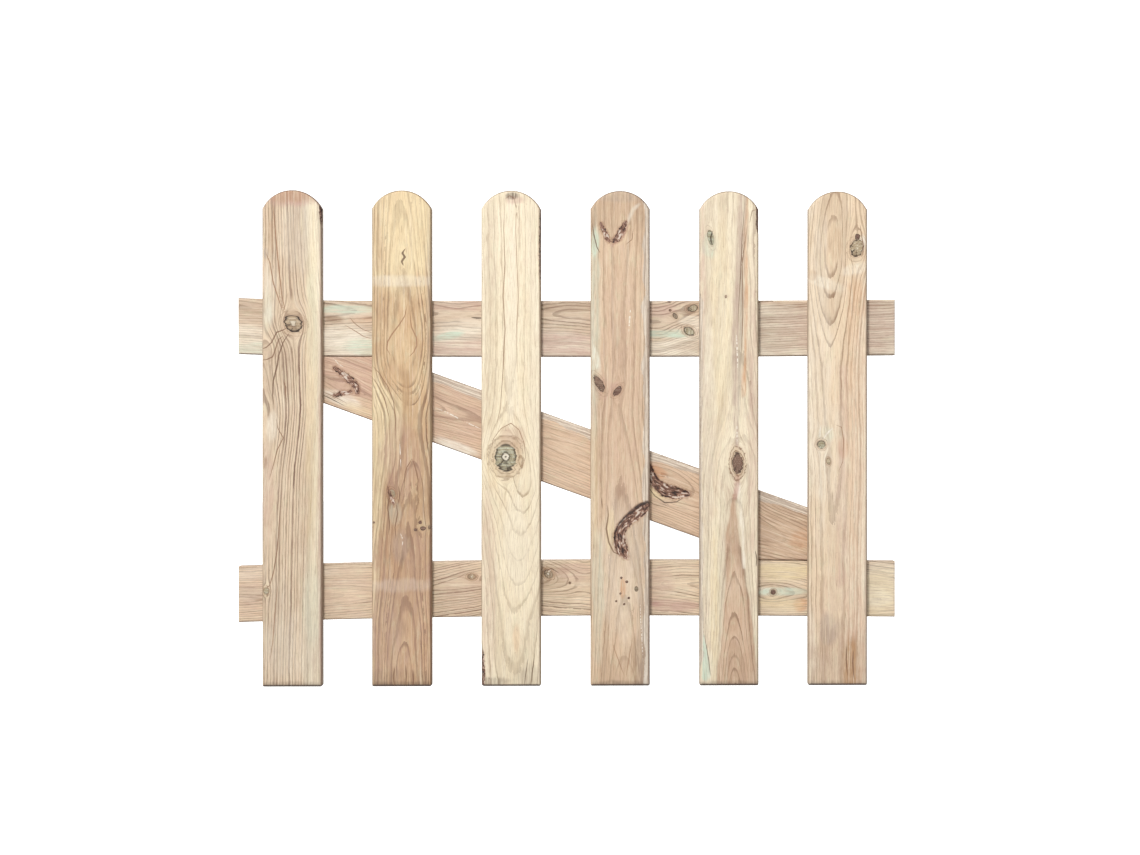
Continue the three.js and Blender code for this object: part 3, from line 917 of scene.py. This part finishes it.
# pinkish brown, knots in pairs, a bark pocket running down to the left
PICKET_4 = Board(
    seed=41, spacing=3.6, wobble=1, heart_radius=84, contrast=0.42, thick=0.36,
    sap="#e6d3b7", heart="#dabfa2", late="#7e5e47",
    pith=[(0, 8, 40), (60, 7, 44), (150, 6, 48), (250, 4, 52), (420, -4, 58), (750, 2, 56)],
    knots=[
        Knot(-32, 458, 11, 27, 0.95, 0.85, 0, 0, 0.5, 30),
        Knot(-4, 447, 9, 18, 0.9, 0.95, 0, 0, 0.5, -38), Knot(1.7, 164, 3.8, 3.8, 1, 1, 0, 0, 0),
        Knot(10, 158, 4.4, 4, 1, 1, 0, 0, 0), Knot(0.4, 140, 3.4, 3.4, 1, 1, 0, 0, 0),
        Knot(13, 133.5, 3.8, 4, 1, 1, 0, 0, 0), Knot(-6, 128.5, 3.4, 3.4, 0.8, 0.8, 0, 0, 0),
        Knot(6, 124, 3.6, 3.6, 1, 1, 0, 0, 0), Knot(24.5, 147, 5.6, 8.4, 0.7, 0.8, 0.5, 0, 0),
    ],
    patches={
        "pale": [(-42, 420, 8, 500, 0.4), (0, 180, 60, 200, 0.3), (-37, 497, 9, 40, 0.9, 12)],
        "green": [(-38, 560, 14, 300, 0.6), (-38, 672, 12, 44, 0.9), (-34, 140, 18, 180, 0.45)],
        "shade": [
            (-42, 690, 10, 46, 0.7), (0, 715, 90, 60, 0.35), (10, 20, 90, 60, 0.3),
            (-34, 380, 20, 200, 0.3), (32, 30, 26, 100, 0.6), (34, 700, 20, 90, 0.35),
        ],
        "grey": [(34, 60, 18, 160, 0.5), (0, 742, 80, 18, 0.5), (30, 210, 20, 110, 0.4)],
        "yellow": [(-40, 300, 12, 200, 0.4), (-14, 235, 14, 60, 0.8)],
        "resin": [(4, 148, 8, 30, 0.7)],
        "pink": [(0, 420, 56, 420, 0.2), (-18, 450, 44, 30, 0.4)],
        "dark": [(0, 2, 110, 12, 0.4)],
    },
    bands=[
        Band("yellow", 0.7, 2, [(-30, 700, 4), (-20, 680, 4), (-8, 668, 5), (6, 676, 4), (14, 696, 4)]),
        Band("pale", 0.8, 2, [(0, 680, 3), (10, 700, 5), (20, 722, 6), (30, 730, 4)]),
        Band("pink", 0.8, 3, [(-12, 668, 6), (2, 678, 8), (10, 694, 6)]),
    ],
    lines=[
        Line(0.2, 2.8, [(-19, 275), (-18, 258), (-21, 238), (-17, 217), (-10, 203), (2, 197)]),
        Line(0.2, 1.6, [(-28, 286), (-27, 268)]),
        Line(1, 2.4, [(17, 577), (15, 566), (14, 553), (13, 535)]),
        Line(0.45, 1.4, [(-12, 66), (-3, 40), (7, 13)]), Line(0.45, 1.4, [(9, 13), (13, 40), (19, 74)]),
        Line(0.1, 2, [(-42, 702), (-40, 684), (-35, 664), (-30, 655)]),
        Line(0.3, 1.6, [(8, 668), (18, 676), (20, 694)]),
        Line(1, 1.6, [(30, 130), (31, 100), (33, 70), (35, 30)]),
    ],
    barks=[
        Bark(1.6, [
            (41, 275, 9), (33, 268, 18), (22, 259, 18), (12, 251, 16), (3, 241, 15), (-2, 230, 15),
            (-1, 217, 18), (3, 206, 18), (8, 196, 9),
        ]),
        Bark(0.6, [(-29, 699, 5), (-23, 686, 7), (-17, 675, 7)]),
        Bark(0.6, [(8, 702, 5), (3, 690, 10), (-4, 678, 10), (-11, 673, 5)]),
    ],
    wanes=[Wane(1, -40, 800, 10, 0.7, 0)],
)

# cream above, with a purplish streak, and brown heartwood rising in a point below the eye knot
PICKET_5 = Board(
    seed=59, spacing=3.6, wobble=1.2, heart_radius=0, contrast=0.56, thick=0.34,
    sap="#f2e6cc", heart="#d2b499", late="#76563f",
    pith=[
        (0, 10, 7), (50, 9, 15), (83, 9, 19.5), (145, 9, 24), (212, 8, 28.5), (290, 9, 33), (336, 12, 36),
        (400, 13, 42), (540, 15, 48), (750, 16, 50),
    ],
    knots=[
        Knot(13, 337, 16, 31, 0.8, 0.9, 0, 0, 1), Knot(-28, 679, 9, 24, 0.5, 0.5, 1, 0, 0.3, 12),
        Knot(-5, 590, 4, 5, 0.7, 0.7, 0, 0, 0.3),
    ],
    bends=[Bend(13, 337, 34, 60)],
    patches={
        "yellow": [(-12, 560, 30, 330, 0.4), (-22, 120, 12, 260, 0.6)],
        "pink": [(-40, 600, 8, 260, 0.5), (36, 420, 14, 420, 0.45)],
        "plain": [(-16, 560, 50, 440, 0.9), (6, 240, 26, 70, 0.8)],
        "tan": [(-30, 340, 26, 220, 0.2)],
        "busy": [(8, 100, 50, 200, 0.4), (34, 560, 16, 340, 0.5)],
        "green": [(-30, 668, 22, 34, 0.9)],
        "dark": [(0, 2, 110, 12, 0.4)],
        "shade": [(12, 20, 60, 60, 0.2)],
        "pale": [(-30, 400, 20, 300, 0.4)],
    },
    bands=[
        Band("heart", 1, 2, [
            (7, 288, 3), (6, 258, 12), (5, 227, 22), (9, 176, 26), (11, 136, 36), (13, 87, 48),
            (12, 40, 56), (12, 0, 62),
        ]),
        Band("grey", 0.6, 2.5, [
            (21, 742, 12), (17, 640, 13), (13.5, 540, 16), (10, 450, 14), (12, 365, 6),
        ]),
        Band("pink", 0.35, 2, [(19, 742, 8), (14, 640, 8), (10, 540, 9), (8, 450, 9), (12, 365, 5)]),
        Band("resin", 0.6, 2, [(28, 742, 4), (24, 680, 5), (26, 600, 6), (25, 520, 6), (22, 440, 5)]),
        Band("pink", 0.8, 2, [(13, 316, 9), (12, 300, 7), (9, 284, 4)]),
        Band("pale", 0.9, 2, [(15, 306, 5), (17, 280, 6), (20, 240, 5), (23, 180, 4)]),
        Band("green", 1.3, 1.5, [(-39, 78, 2), (-37, 50, 8), (-35, 14, 12)]),
        Band("pale", 1, 1.5, [(-38, 74, 2), (-36, 46, 6), (-34, 16, 9)]),
    ],
    lines=[
        Line(0.2, 1.6, [(24, 739), (20, 680), (16, 600), (13, 540)]),
        Line(1, 2.4, [(11, 535), (12.5, 505), (13, 478)]),
        Line(0, 2.6, [(-25, 690), (-28, 679), (-26, 668)]),
        Line(1, 2.2, [(12, 400), (12, 380), (12, 364)]), Line(0, 1.6, [(-28, 14), (-31, 40), (-38, 80)]),
        Line(0.3, 1.8, [(28, 700), (20, 640), (21, 560), (18, 490)]),
        Line(0.3, 1.4, [(31, 700), (35, 720), (42, 722)]),
        Line(0.1, 2.2, [(40, 205), (42, 192), (41, 180)]),
    ],
    wanes=[Wane(1, 680, 748, 5, 4, 0.8), Wane(-1, 20, 600, 5, 1.6, 0)],
)

# an oval at the top, cream to the left and orange to the right, small knots
PICKET_6 = Board(
    seed=67, spacing=3.8, wobble=0.9, heart_radius=52, contrast=0.62, thick=0.3,
    sap="#f3e6cf", heart="#eed8ba", late="#805d43",
    pith=[
        (0, -8, 44), (200, -8, 43), (300, -6, 42), (390, -6, 41), (480, -9, 40), (520, -9, 37.5),
        (560, -9, 34), (590, -9, 31), (615, -9, 28), (640, -7, 25.5), (672, -5, 24.3), (700, -4, 26.5),
        (750, -2, 31),
    ],
    knots=[
        Knot(29, 664, 19, 25, 1, 0.2, 0.35, 0, 0.4, -15), Knot(30, 681, 8, 9, 1, 1, 0, 0, 0.2),
        Knot(-25, 366, 12, 12, 0.95, 0.2, 0.8, 0, 0.6), Knot(-14, 340, 6, 9, 0.8, 0.1, 0.3, 0, 0.7, 15),
    ],
    patches={
        "pale": [
            (-28, 480, 34, 460, 0.35), (38, 672, 10, 22, 1), (2, 330, 60, 180, 0.3),
            (-22, 612, 60, 16, 0.4, -20), (26, 632, 40, 16, 0.5, 15),
        ],
        "green": [(-18, 380, 22, 24, 0.5, -35)],
        "grey": [(-13, 85, 34, 44, 0.6)],
        "pink": [(0, 60, 100, 200, 0.2)],
        "resin": [(8, 360, 16, 30, 0.3)],
        "busy": [(-6, 560, 90, 180, 0.7)],
        "plain": [(-4, 672, 30, 60, 0.9), (4, 350, 30, 60, 0.6)],
        "shade": [(0, 30, 100, 120, 0.45), (-10, 690, 60, 110, 0.15)],
        "tan": [(-4, 672, 22, 50, 0.3), (-38, 622, 14, 14, 0.4), (20, 30, 28, 80, 0.8)],
        "dark": [(0, 2, 110, 12, 0.3)],
    },
    bands=[
        Band("resin", 0.28, 8, [(28, 600, 30), (30, 400, 28), (28, 200, 28), (26, 0, 30)]),
        Band("pink", 0.4, 5, [(8, 480, 12), (6, 300, 14), (6, 160, 16)]),
    ],
    lines=[
        Line(0.95, 3, [(-23, 373), (-15, 384), (-7, 391)]),
        Line(0.95, 2.4, [(-27, 374), (-27, 386), (-25, 396)]),
        Line(0.4, 1.6, [(-4, 396), (6, 392), (9, 372), (8, 340), (0, 322)]),
        Line(0.2, 2.2, [(14, 60), (13, 40), (15, 14)]), Line(0.2, 2.2, [(24, 54), (23, 34), (25, 8)]),
        Line(0.3, 1.8, [(34, 700), (36, 684), (39, 668), (38, 652)]),
    ],
)

# greenish and pinkish by turns, with five small knots in the fourth gap
UPPER_RAIL = Board(
    seed=71, spacing=3.4, wobble=1.8, heart_radius=34, contrast=0.72, thick=0.4,
    sap="#eee2ce", heart="#dac5ad", late="#684a37",
    pith=[
        (0, 30, 10), (200, 26, 22), (330, 20, 30), (500, 24, 16), (640, 10, 14), (740, 46, 20),
        (800, 54, 24), (1000, 62, 22),
    ],
    knots=[
        Knot(31, 691, 10, 16, 0.9, 0.3, 0.5, 0, 0.6, -15),
        Knot(-4, 685, 11, 17, 1, 0.35, 0.7, 0, 0.6, 30), Knot(19, 664, 6, 9, 0.9, 0.8, 0.3, 0, 0.5, 60),
        Knot(28, 656, 4, 4, 0.8, 0.9, 0, 0, 0.3), Knot(41, 655, 4, 4, 0.8, 0.9, 0, 0, 0.3),
    ],
    patches={
        "busy": [(0, 910, 90, 230, 1)],
        "plain": [
            (-30, 345, 24, 160, 0.5), (-30, 500, 26, 160, 0.5), (16, 20, 30, 60, 0.7),
            (16, 362, 24, 60, 0.9),
        ],
        "shade": [
            (0, 830, 90, 90, 0.4), (14, 146, 12, 30, 0.8), (34, 930, 12, 200, 0.5), (0, 980, 90, 60, 0.3),
            (34, 490, 16, 140, 0.5), (18, 20, 14, 60, 0.3), (-28, 690, 14, 60, 0.4),
        ],
        "green": [
            (29, 165, 12, 80, 1), (-28, 190, 22, 60, 1), (-11, 320, 12, 44, 1.5, -12),
            (-8, 650, 12, 70, 1.4), (-34, 40, 20, 120, 0.6),
        ],
        "pale": [
            (24, 165, 18, 80, 0.4), (-14, 160, 40, 70, 0.6), (4, 345, 22, 90, 0.4),
            (12, 690, 14, 40, 0.6),
        ],
        "resin": [(14, 190, 12, 40, 0.25)],
        "pink": [
            (-30, 335, 26, 150, 0.5), (34, 335, 14, 150, 0.5), (0, 930, 100, 200, 0.35),
            (28, 640, 20, 50, 0.5), (-25, 500, 40, 150, 0.6),
        ],
        "grey": [(0, 520, 90, 160, 0.15)],
    },
    lines=[
        Line(0, 2.6, [(17, 353), (16, 362), (16, 374)]),
        Line(0.35, 1.6, [(18, 168), (8, 176), (-1, 188), (-8, 206)]),
        Line(0.4, 1.6, [(6, 160), (-2, 174), (-12, 190), (-17, 206)]),
    ],
)

# pale, with ovals round small knots, and a green-haloed knot in the fifth gap
LOWER_RAIL = Board(
    seed=83, spacing=3.2, wobble=1.4, heart_radius=90, contrast=0.66, thick=0.36,
    sap="#f4e8d0", heart="#e9d4b8", late="#6c4e39",
    pith=[
        (0, -8, 6), (250, -4, 18), (430, 26, 10), (520, 8, 30), (670, 6, 14), (790, -6, 7), (840, -6, 7),
        (1000, -20, 22),
    ],
    knots=[
        Knot(19, 354, 8, 12, 0.5, 0.2, 0, 0.5, 0.8), Knot(22, 470, 11, 15, 0.9, 0.5, 0.2, 0.5, 0.9, 40),
        Knot(-6, 813.5, 7.5, 7.5, 1, 1, 0, 0, 1), Knot(8, 503, 4, 4, 0.8, 0.8),
    ],
    bends=[Bend(-6, 813, 26, 56)],
    patches={
        "pale": [
            (30, 60, 20, 160, 0.4), (0, 975, 90, 60, 0.5), (-4, 800, 10, 50, 0.8),
            (-12, 965, 26, 60, 0.6),
        ],
        "pink": [
            (0, 20, 90, 60, 0.3), (0, 165, 100, 90, 0.25), (-28, 665, 20, 80, 0.7), (4, 640, 60, 40, 0.4),
            (24, 510, 26, 50, 0.5), (0, 340, 90, 80, 0.25),
        ],
        "grey": [(2, 15, 20, 60, 0.4)],
        "plain": [
            (10, 165, 80, 90, 0.5), (-6, 813, 18, 36, 0.5), (7, 530, 26, 34, 0.95), (8, 645, 34, 44, 0.7),
        ],
        "busy": [(0, 335, 90, 90, 1)],
        "shade": [(-10, 340, 70, 90, 0.3), (0, 480, 80, 60, 0.2), (20, 470, 40, 50, 0.35)],
        "green": [(-5, 825, 12, 80, 1)],
        "yellow": [(26, 830, 30, 90, 0.9), (-24, 825, 22, 70, 0.6), (-10, 975, 80, 60, 0.6)],
        "resin": [(-24, 856, 20, 22, 0.6)],
    },
    lines=[Line(0.1, 1.6, [(26, 462), (30, 476), (22, 488)]), Line(1, 2, [(24, 470), (28, 474)])],
)

# reddish, with three bark pockets and a waney upper edge
BRACE = Board(
    seed=97, spacing=3.2, wobble=2, heart_radius=74, contrast=0.5, thick=0.36,
    sap="#ead4bc", heart="#e0c4a8", late="#7c5c47",
    pith=[(0, 6, 16), (200, 0, 10), (420, 8, 26), (640, 14, 20), (800, -8, 30), (960, -6, 44)],
    bends=[Bend(8, 640, 34, 90), Bend(-14, 128, 30, 60)],
    patches={
        "pale": [(-34, 130, 20, 60, 0.8), (26, 92, 12, 36, 0.5), (-44, 318, 14, 70, 0.9)],
        "yellow": [(-40, 160, 14, 60, 0.5), (-8, 622, 14, 50, 1)],
        "resin": [(22, 616, 20, 30, 0.5), (0, 860, 30, 30, 0.3)],
        "pink": [(0, 300, 90, 160, 0.25), (10, 130, 80, 120, 0.5)],
        "busy": [(0, 850, 100, 170, 1.1)],
        "plain": [(0, 500, 90, 160, 0.4), (-6, 838, 50, 62, 0.85)],
        "shade": [(0, 830, 100, 150, 0.35)],
    },
    lines=[
        Line(0.1, 2, [(-38, 88), (-39, 108), (-43, 138)]),
        Line(0.3, 1.6, [(-34, 92), (-35, 115), (-38, 140)]),
        Line(0, 2.2, [(-2, 612), (-12, 626), (-17, 645), (-10, 661), (0, 669)]),
        Line(0.2, 1.4, [(-20, 612), (-25, 630), (-23, 652)]),
        Line(1, 2.2, [(2, 262), (0, 290), (-4, 318), (-6, 345)]),
        Line(1, 1.6, [(20, 96), (14, 106), (12, 116)]), Line(1, 1.4, [(26, 84), (20, 92), (17, 104)]),
    ],
    barks=[
        Bark(0.6, [(6, 104, 6), (2, 116, 9), (-3, 132, 11), (-9, 144, 9), (-17, 148, 6)]),
        Bark(0.6, [(-33, 117, 5), (-27, 126, 7), (-20, 138, 5)]),
        Bark(1.4, [(30, 604, 4), (16, 610, 15), (6, 622, 15), (1, 640, 20), (3, 656, 19), (7, 672, 10)]),
    ],
    wanes=[Wane(1, 225, 980, 12, 1.6, 0)],
)

PICKETS = (PICKET_1, PICKET_2, PICKET_3, PICKET_4, PICKET_5, PICKET_6)


# ---- the boards' places, from the frame ----


def box_mm(node):
    """A CAD node's corners in millimetres."""
    low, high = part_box(node)
    return [v / MM for v in low], [v / MM for v in high]


def screws_of(frame, start):
    """Where the screws of a board are, in the row's frame."""
    spots = []
    for node in sorted(frame["nodes"]):
        if node.startswith(start):
            low, high = box_mm(node)
            spots.append(((low[0] + high[0]) / 2, (low[2] + high[2]) / 2))
    return spots


def picket(index, board):
    """An upright board with a round top."""
    node = f"picket_{index}"
    low, high = box_mm(node)
    middle, foot, top = (low[0] + high[0]) / 2, low[2], high[2]
    half = (high[0] - low[0]) / 2
    arc_centre = top - TOP_RADIUS
    shoulder = arc_centre + math.sqrt(TOP_RADIUS**2 - (half - TOP_SHOULDER / 2) ** 2)
    start = math.asin((shoulder - arc_centre) / TOP_RADIUS)
    end = math.acos(APEX_FLAT / TOP_RADIUS)
    arc_rows = arc_centre + TOP_RADIUS * np.sin(np.linspace(start, end, ARC_ROWS))
    rows = np.concatenate([stops(foot, shoulder - 1.0, ALONG_STEP), arc_rows])
    rows = np.unique(np.round(rows[rows < top], 4))
    below = np.clip(CORNER_ROUND - (rows - foot), 0, CORNER_ROUND)
    width = half - (CORNER_ROUND - np.sqrt(CORNER_ROUND**2 - below**2))
    on_arc = rows >= shoulder
    width[on_arc] = np.sqrt(np.maximum(TOP_RADIUS**2 - (rows[on_arc] - arc_centre) ** 2, APEX_FLAT**2))
    columns = stops(-half, half, ACROSS_STEP) / half
    x = middle + width[:, None] * columns[None, :]
    z = np.repeat(rows[:, None], len(columns), axis=1)
    inside = np.minimum(half - abs(x - middle), z - foot)
    arc = TOP_RADIUS - np.hypot(x - middle, z - arc_centre)
    inside = np.where(z > arc_centre, np.minimum(inside, arc), inside)
    inside[0], inside[-1], inside[:, 0], inside[:, -1] = 0, 0, 0, 0

    def to_local(px, pz):
        return px - middle, pz - foot

    depths = (low[1], high[1] - low[1])
    axes = ((0, 0, 1), (1, 0, 0))
    obj = build_board(node + "_board", board, x, z, inside, PICKET_ARRIS, depths, to_local, half, axes)
    claim(obj, node)


def swing(x, ends):
    """How far a rail with those ends has swung up at x."""
    at_latch, latch_length, at_hinge, hinge_length = ends
    low, high = box_mm("upper_rail")
    latch = at_latch * np.clip(1 - (x - low[0]) / latch_length, 0, 1) ** 2
    hinge = at_hinge * np.clip(1 - (high[0] - x) / hinge_length, 0, 1) ** 2
    return latch + hinge


def rail(node, board, frame, ends):
    """A rail that swings up by `ends`, as in swing()."""
    low, high = box_mm(node)
    rows = stops(low[0], high[0], ALONG_STEP)[::-1]
    columns = stops(low[2], high[2], ACROSS_STEP)
    x = np.repeat(rows[:, None], len(columns), axis=1)
    z = np.repeat(columns[None, :], len(rows), axis=0)
    inside = np.minimum(np.minimum(x - low[0], high[0] - x), np.minimum(z - low[2], high[2] - z))
    middle = (low[2] + high[2]) / 2

    def to_local(px, pz):
        return pz - middle - swing(px, ends), px - low[0]

    depths = (low[1], high[1] - low[1])
    half = (high[2] - low[2]) / 2
    axes = ((0, 0, 0), (0, 0, -1))
    spots = screws_of(frame, node + "_screw")
    swung = z + swing(x, ends)
    obj = build_board(
        node + "_board", board, x, swung, inside, RAIL_ARRIS, depths, to_local, half, axes, spots
    )
    claim(obj, node)


def brace(board, frame):
    """The brace, cut plumb at both ends and mitred against the swung rails."""
    node = "diagonal_brace"
    low, high = box_mm(node)
    floor = box_mm("lower_rail")[1][2] + CONTACT_GAP
    ceiling = box_mm("upper_rail")[0][2] - CONTACT_GAP
    middle_x, middle_z = (low[0] + high[0]) / 2, (low[2] + high[2]) / 2 + BRACE_LIFT
    slant = math.cos(math.atan(BRACE_SLOPE))
    lean = math.sin(math.atan(BRACE_SLOPE))
    half = BRACE_WIDTH / 2 / slant

    def line(px):
        return middle_z + (px - middle_x) * BRACE_SLOPE

    mitre_top = middle_x + (ceiling - half - middle_z) / BRACE_SLOPE
    mitre_foot = middle_x + (floor + half - middle_z) / BRACE_SLOPE
    rows = stops(low[0], high[0], ALONG_STEP, extra=(mitre_top, mitre_foot))[::-1]
    bottom = np.maximum(line(rows) - half, floor + swing(rows, LOWER_SWING))
    top = np.minimum(line(rows) + half, ceiling + swing(rows, UPPER_SWING))
    shares = stops(0.0, BRACE_WIDTH, BRACE_STEP) / BRACE_WIDTH
    x = np.repeat(rows[:, None], len(shares), axis=1)
    z = bottom[:, None] + (top - bottom)[:, None] * shares[None, :]
    inside = np.minimum.reduce([
        x - low[0], high[0] - x, z - floor - swing(x, LOWER_SWING), ceiling + swing(x, UPPER_SWING) - z,
        (line(x) + half - z) * slant, (z - line(x) + half) * slant,
    ])
    inside = np.maximum(inside, 0)

    length = (high[0] - low[0]) / slant

    def to_local(px, pz):
        dx, dz = px - middle_x, pz - middle_z
        return dz * slant - dx * lean, dx * slant + dz * lean + length / 2

    depths = (low[1], high[1] - low[1])
    axes = ((0, 0, 0), (lean, 0, -slant))
    spots = screws_of(frame, "brace_screw")
    obj = build_board(
        node + "_board", board, x, z, inside, RAIL_ARRIS, depths, to_local, BRACE_WIDTH / 2, axes, spots
    )
    claim(obj, node)


def claim(obj, node):
    """Makes a piece stand for its CAD node."""
    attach(obj, "root")
    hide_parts(node)


# ---- screws ----


def drive_recess(x, z):
    """Depth of the cross recess at a place on the head, in mm."""
    width, length = RECESS_ARM_WIDTH, RECESS_ARM_LENGTH
    along_x = np.minimum(rise(width - abs(z), 0, 0.3), rise(length - abs(x), 0, 0.9))
    along_z = np.minimum(rise(width - abs(x), 0, 0.3), rise(length - abs(z), 0, 0.9))
    return RECESS_DEPTH * np.maximum(along_x, along_z)


def screw_mesh():
    """A countersunk wood screw, its head's face at y = 0 and its point at y = -SCREW_LENGTH."""
    turn = np.linspace(0, 2 * math.pi, SCREW_SIDES, endpoint=False)
    points = [np.array([[0.0, -drive_recess(np.zeros(1), np.zeros(1))[0], 0.0]])]

    def add_ring(radius, depth):
        points.append(np.stack([radius * np.cos(turn), 0 * turn - depth, radius * np.sin(turn)], 1))

    for radius in HEAD_RINGS:
        add_ring(radius, drive_recess(radius * np.cos(turn), radius * np.sin(turn)))
    for radius, depth in SCREW_NECK:
        add_ring(radius, depth)
    for depth in np.linspace(THREAD_START, SCREW_LENGTH - 0.3, THREAD_RINGS):
        taper = min(1.0, (SCREW_LENGTH - depth) / POINT_LENGTH)
        phase = (depth / THREAD_PITCH + turn / (2 * math.pi)) % 1.0
        crest = np.clip(1 - abs(phase - 0.5) * 5, 0, 1)
        add_ring(taper * (THREAD_CORE + (SCREW_SHANK_RADIUS - THREAD_CORE) * crest) + 0.05, depth)
    points.append(np.array([[0.0, -SCREW_LENGTH, 0.0]]))
    rings = len(points) - 2
    faces = []
    for i in range(SCREW_SIDES):
        j = (i + 1) % SCREW_SIDES
        faces.append((0, 1 + j, 1 + i))
        for r in range(rings - 1):
            a, b = 1 + r * SCREW_SIDES, 1 + (r + 1) * SCREW_SIDES
            faces.append((a + i, a + j, b + j, b + i))
        last = 1 + (rings - 1) * SCREW_SIDES
        faces.append((last + i, last + j, last + SCREW_SIDES))
    mesh = bpy.data.meshes.new("countersunk_screw")
    mesh.from_pydata((np.concatenate(points) * MM).tolist(), [], faces)
    mesh.validate()
    mesh.shade_smooth()
    mesh.materials.append(plated_steel())
    return mesh


def screws(frame):
    """A screw for each of the frame's, turned as the driver left it."""
    mesh = screw_mesh()
    rng = np.random.default_rng(5)
    for node in sorted(n for n in frame["nodes"] if "_screw_" in n):
        low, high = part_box(node)
        obj = bpy.data.objects.new(node + "_steel", mesh)
        bpy.context.scene.collection.objects.link(obj)
        obj.location = ((low[0] + high[0]) / 2, high[1], (low[2] + high[2]) / 2)
        obj.rotation_euler = (0, rng.uniform(0, math.pi), 0)
        claim(obj, node)


# ---- studio ----


def studio():
    """A pale floor and backdrop, a soft key from the upper left and a fill from behind."""
    soft_sky()
    floor_z = box_mm("picket_1")[0][2] - FLOOR_DROP
    square = ((-1, -1), (1, -1), (1, 1), (-1, 1))
    points = np.array([(x * FLOOR_REACH, y * FLOOR_REACH, floor_z) for x, y in square])
    floor = mesh_object("floor", points, np.array([[0, 1, 2, 3]]), smooth=False)
    floor.data.materials.append(paper("floor_paper", FLOOR_GLOW))
    floor.visible_diffuse = False
    floor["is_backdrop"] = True

    bpy.ops.mesh.primitive_uv_sphere_add(segments=48, ring_count=24, radius=DOME_RADIUS)
    dome = bpy.context.object
    dome.name = "backdrop"
    dome.data.materials.append(paper("backdrop_paper", DOME_GLOW))
    dome.visible_diffuse = False
    dome.visible_glossy = False
    dome.visible_shadow = False
    dome.visible_transmission = False
    dome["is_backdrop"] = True

    low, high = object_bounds()
    centre = (low + high) / 2 / MM
    flat = KEY_DISTANCE * math.cos(KEY_UP)
    away = (-flat * math.sin(KEY_LEFT), -flat * math.cos(KEY_LEFT), KEY_DISTANCE * math.sin(KEY_UP))
    key = [c + a for c, a in zip(centre, away)]
    area_light("key", key, KEY_SIZE, KEY_POWER, KEY_COLOUR)
    area_light("back_fill", FILL_PLACE, FILL_SIZE, FILL_POWER, FILL_COLOUR)


def soft_sky():
    """Even light, brighter from above and the left than from below and the right."""
    world = bpy.data.worlds.new("studio")
    bpy.context.scene.world = world
    world.use_nodes = True
    tree = world.node_tree
    place = tree.nodes.new("ShaderNodeTexCoord")
    lean = tree.nodes.new("ShaderNodeVectorMath")
    lean.operation = "DOT_PRODUCT"
    lean.inputs[1].default_value = SKY_LEAN
    level = tree.nodes.new("ShaderNodeMath")
    level.operation = "ADD"
    level.inputs[1].default_value = SKY_LEVEL
    tree.links.new(place.outputs["Generated"], lean.inputs[0])
    tree.links.new(lean.outputs["Value"], level.inputs[0])
    background = tree.nodes["Background"]
    background.inputs[0].default_value = SKY_COLOUR
    tree.links.new(level.outputs[0], background.inputs[1])


def paper(name, glow):
    """White studio paper that glows a little."""
    return Graph(name).surface({
        "Base Color": (0.86, 0.86, 0.86, 1),
        "Roughness": 0.9,
        "Specular IOR Level": 0.1,
        "Emission Color": (1, 1, 1, 1),
        "Emission Strength": glow,
    })


def area_light(name, place, size, power, colour):
    """A round lamp at a place in mm, turned to the middle of the leaf."""
    light = bpy.data.lights.new(name, "AREA")
    light.shape = "DISK"
    light.size = size * MM
    light.energy = power
    light.color = colour
    obj = bpy.data.objects.new(name, light)
    bpy.context.scene.collection.objects.link(obj)
    obj.location = [v * MM for v in place]
    low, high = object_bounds()
    obj.rotation_euler = ((low + high) / 2 - obj.location).to_track_quat("-Z", "Y").to_euler()


def camera():
    """The photograph's viewing angle."""
    front = box_mm("picket_1")[0][1]
    data = bpy.data.cameras.new("camera")
    data.sensor_width = 36
    data.lens = CAMERA_LENS
    data.shift_x = CAMERA_SHIFT
    data.clip_end = CAMERA_REACH
    obj = bpy.data.objects.new("camera", data)
    bpy.context.scene.collection.objects.link(obj)
    obj.location = (CAMERA_X * MM, (front - CAMERA_DISTANCE) * MM, CAMERA_Z * MM)
    obj.rotation_euler = (math.pi / 2 + CAMERA_PITCH, 0, -CAMERA_YAW)
    bpy.context.scene.camera = obj


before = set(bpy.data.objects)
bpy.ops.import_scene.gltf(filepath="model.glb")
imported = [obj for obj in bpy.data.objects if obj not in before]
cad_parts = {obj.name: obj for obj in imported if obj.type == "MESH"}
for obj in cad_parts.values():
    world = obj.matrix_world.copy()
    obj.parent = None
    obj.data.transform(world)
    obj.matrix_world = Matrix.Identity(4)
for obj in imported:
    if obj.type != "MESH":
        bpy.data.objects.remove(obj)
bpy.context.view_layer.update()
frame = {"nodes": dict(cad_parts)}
bpy.context.scene.view_settings.view_transform = "Standard"

camera()
studio()
for number, wood in enumerate(PICKETS, 1):
    picket(number, wood)
rail("upper_rail", UPPER_RAIL, frame, UPPER_SWING)
rail("lower_rail", LOWER_RAIL, frame, LOWER_SWING)
brace(BRACE, frame)
screws(frame)
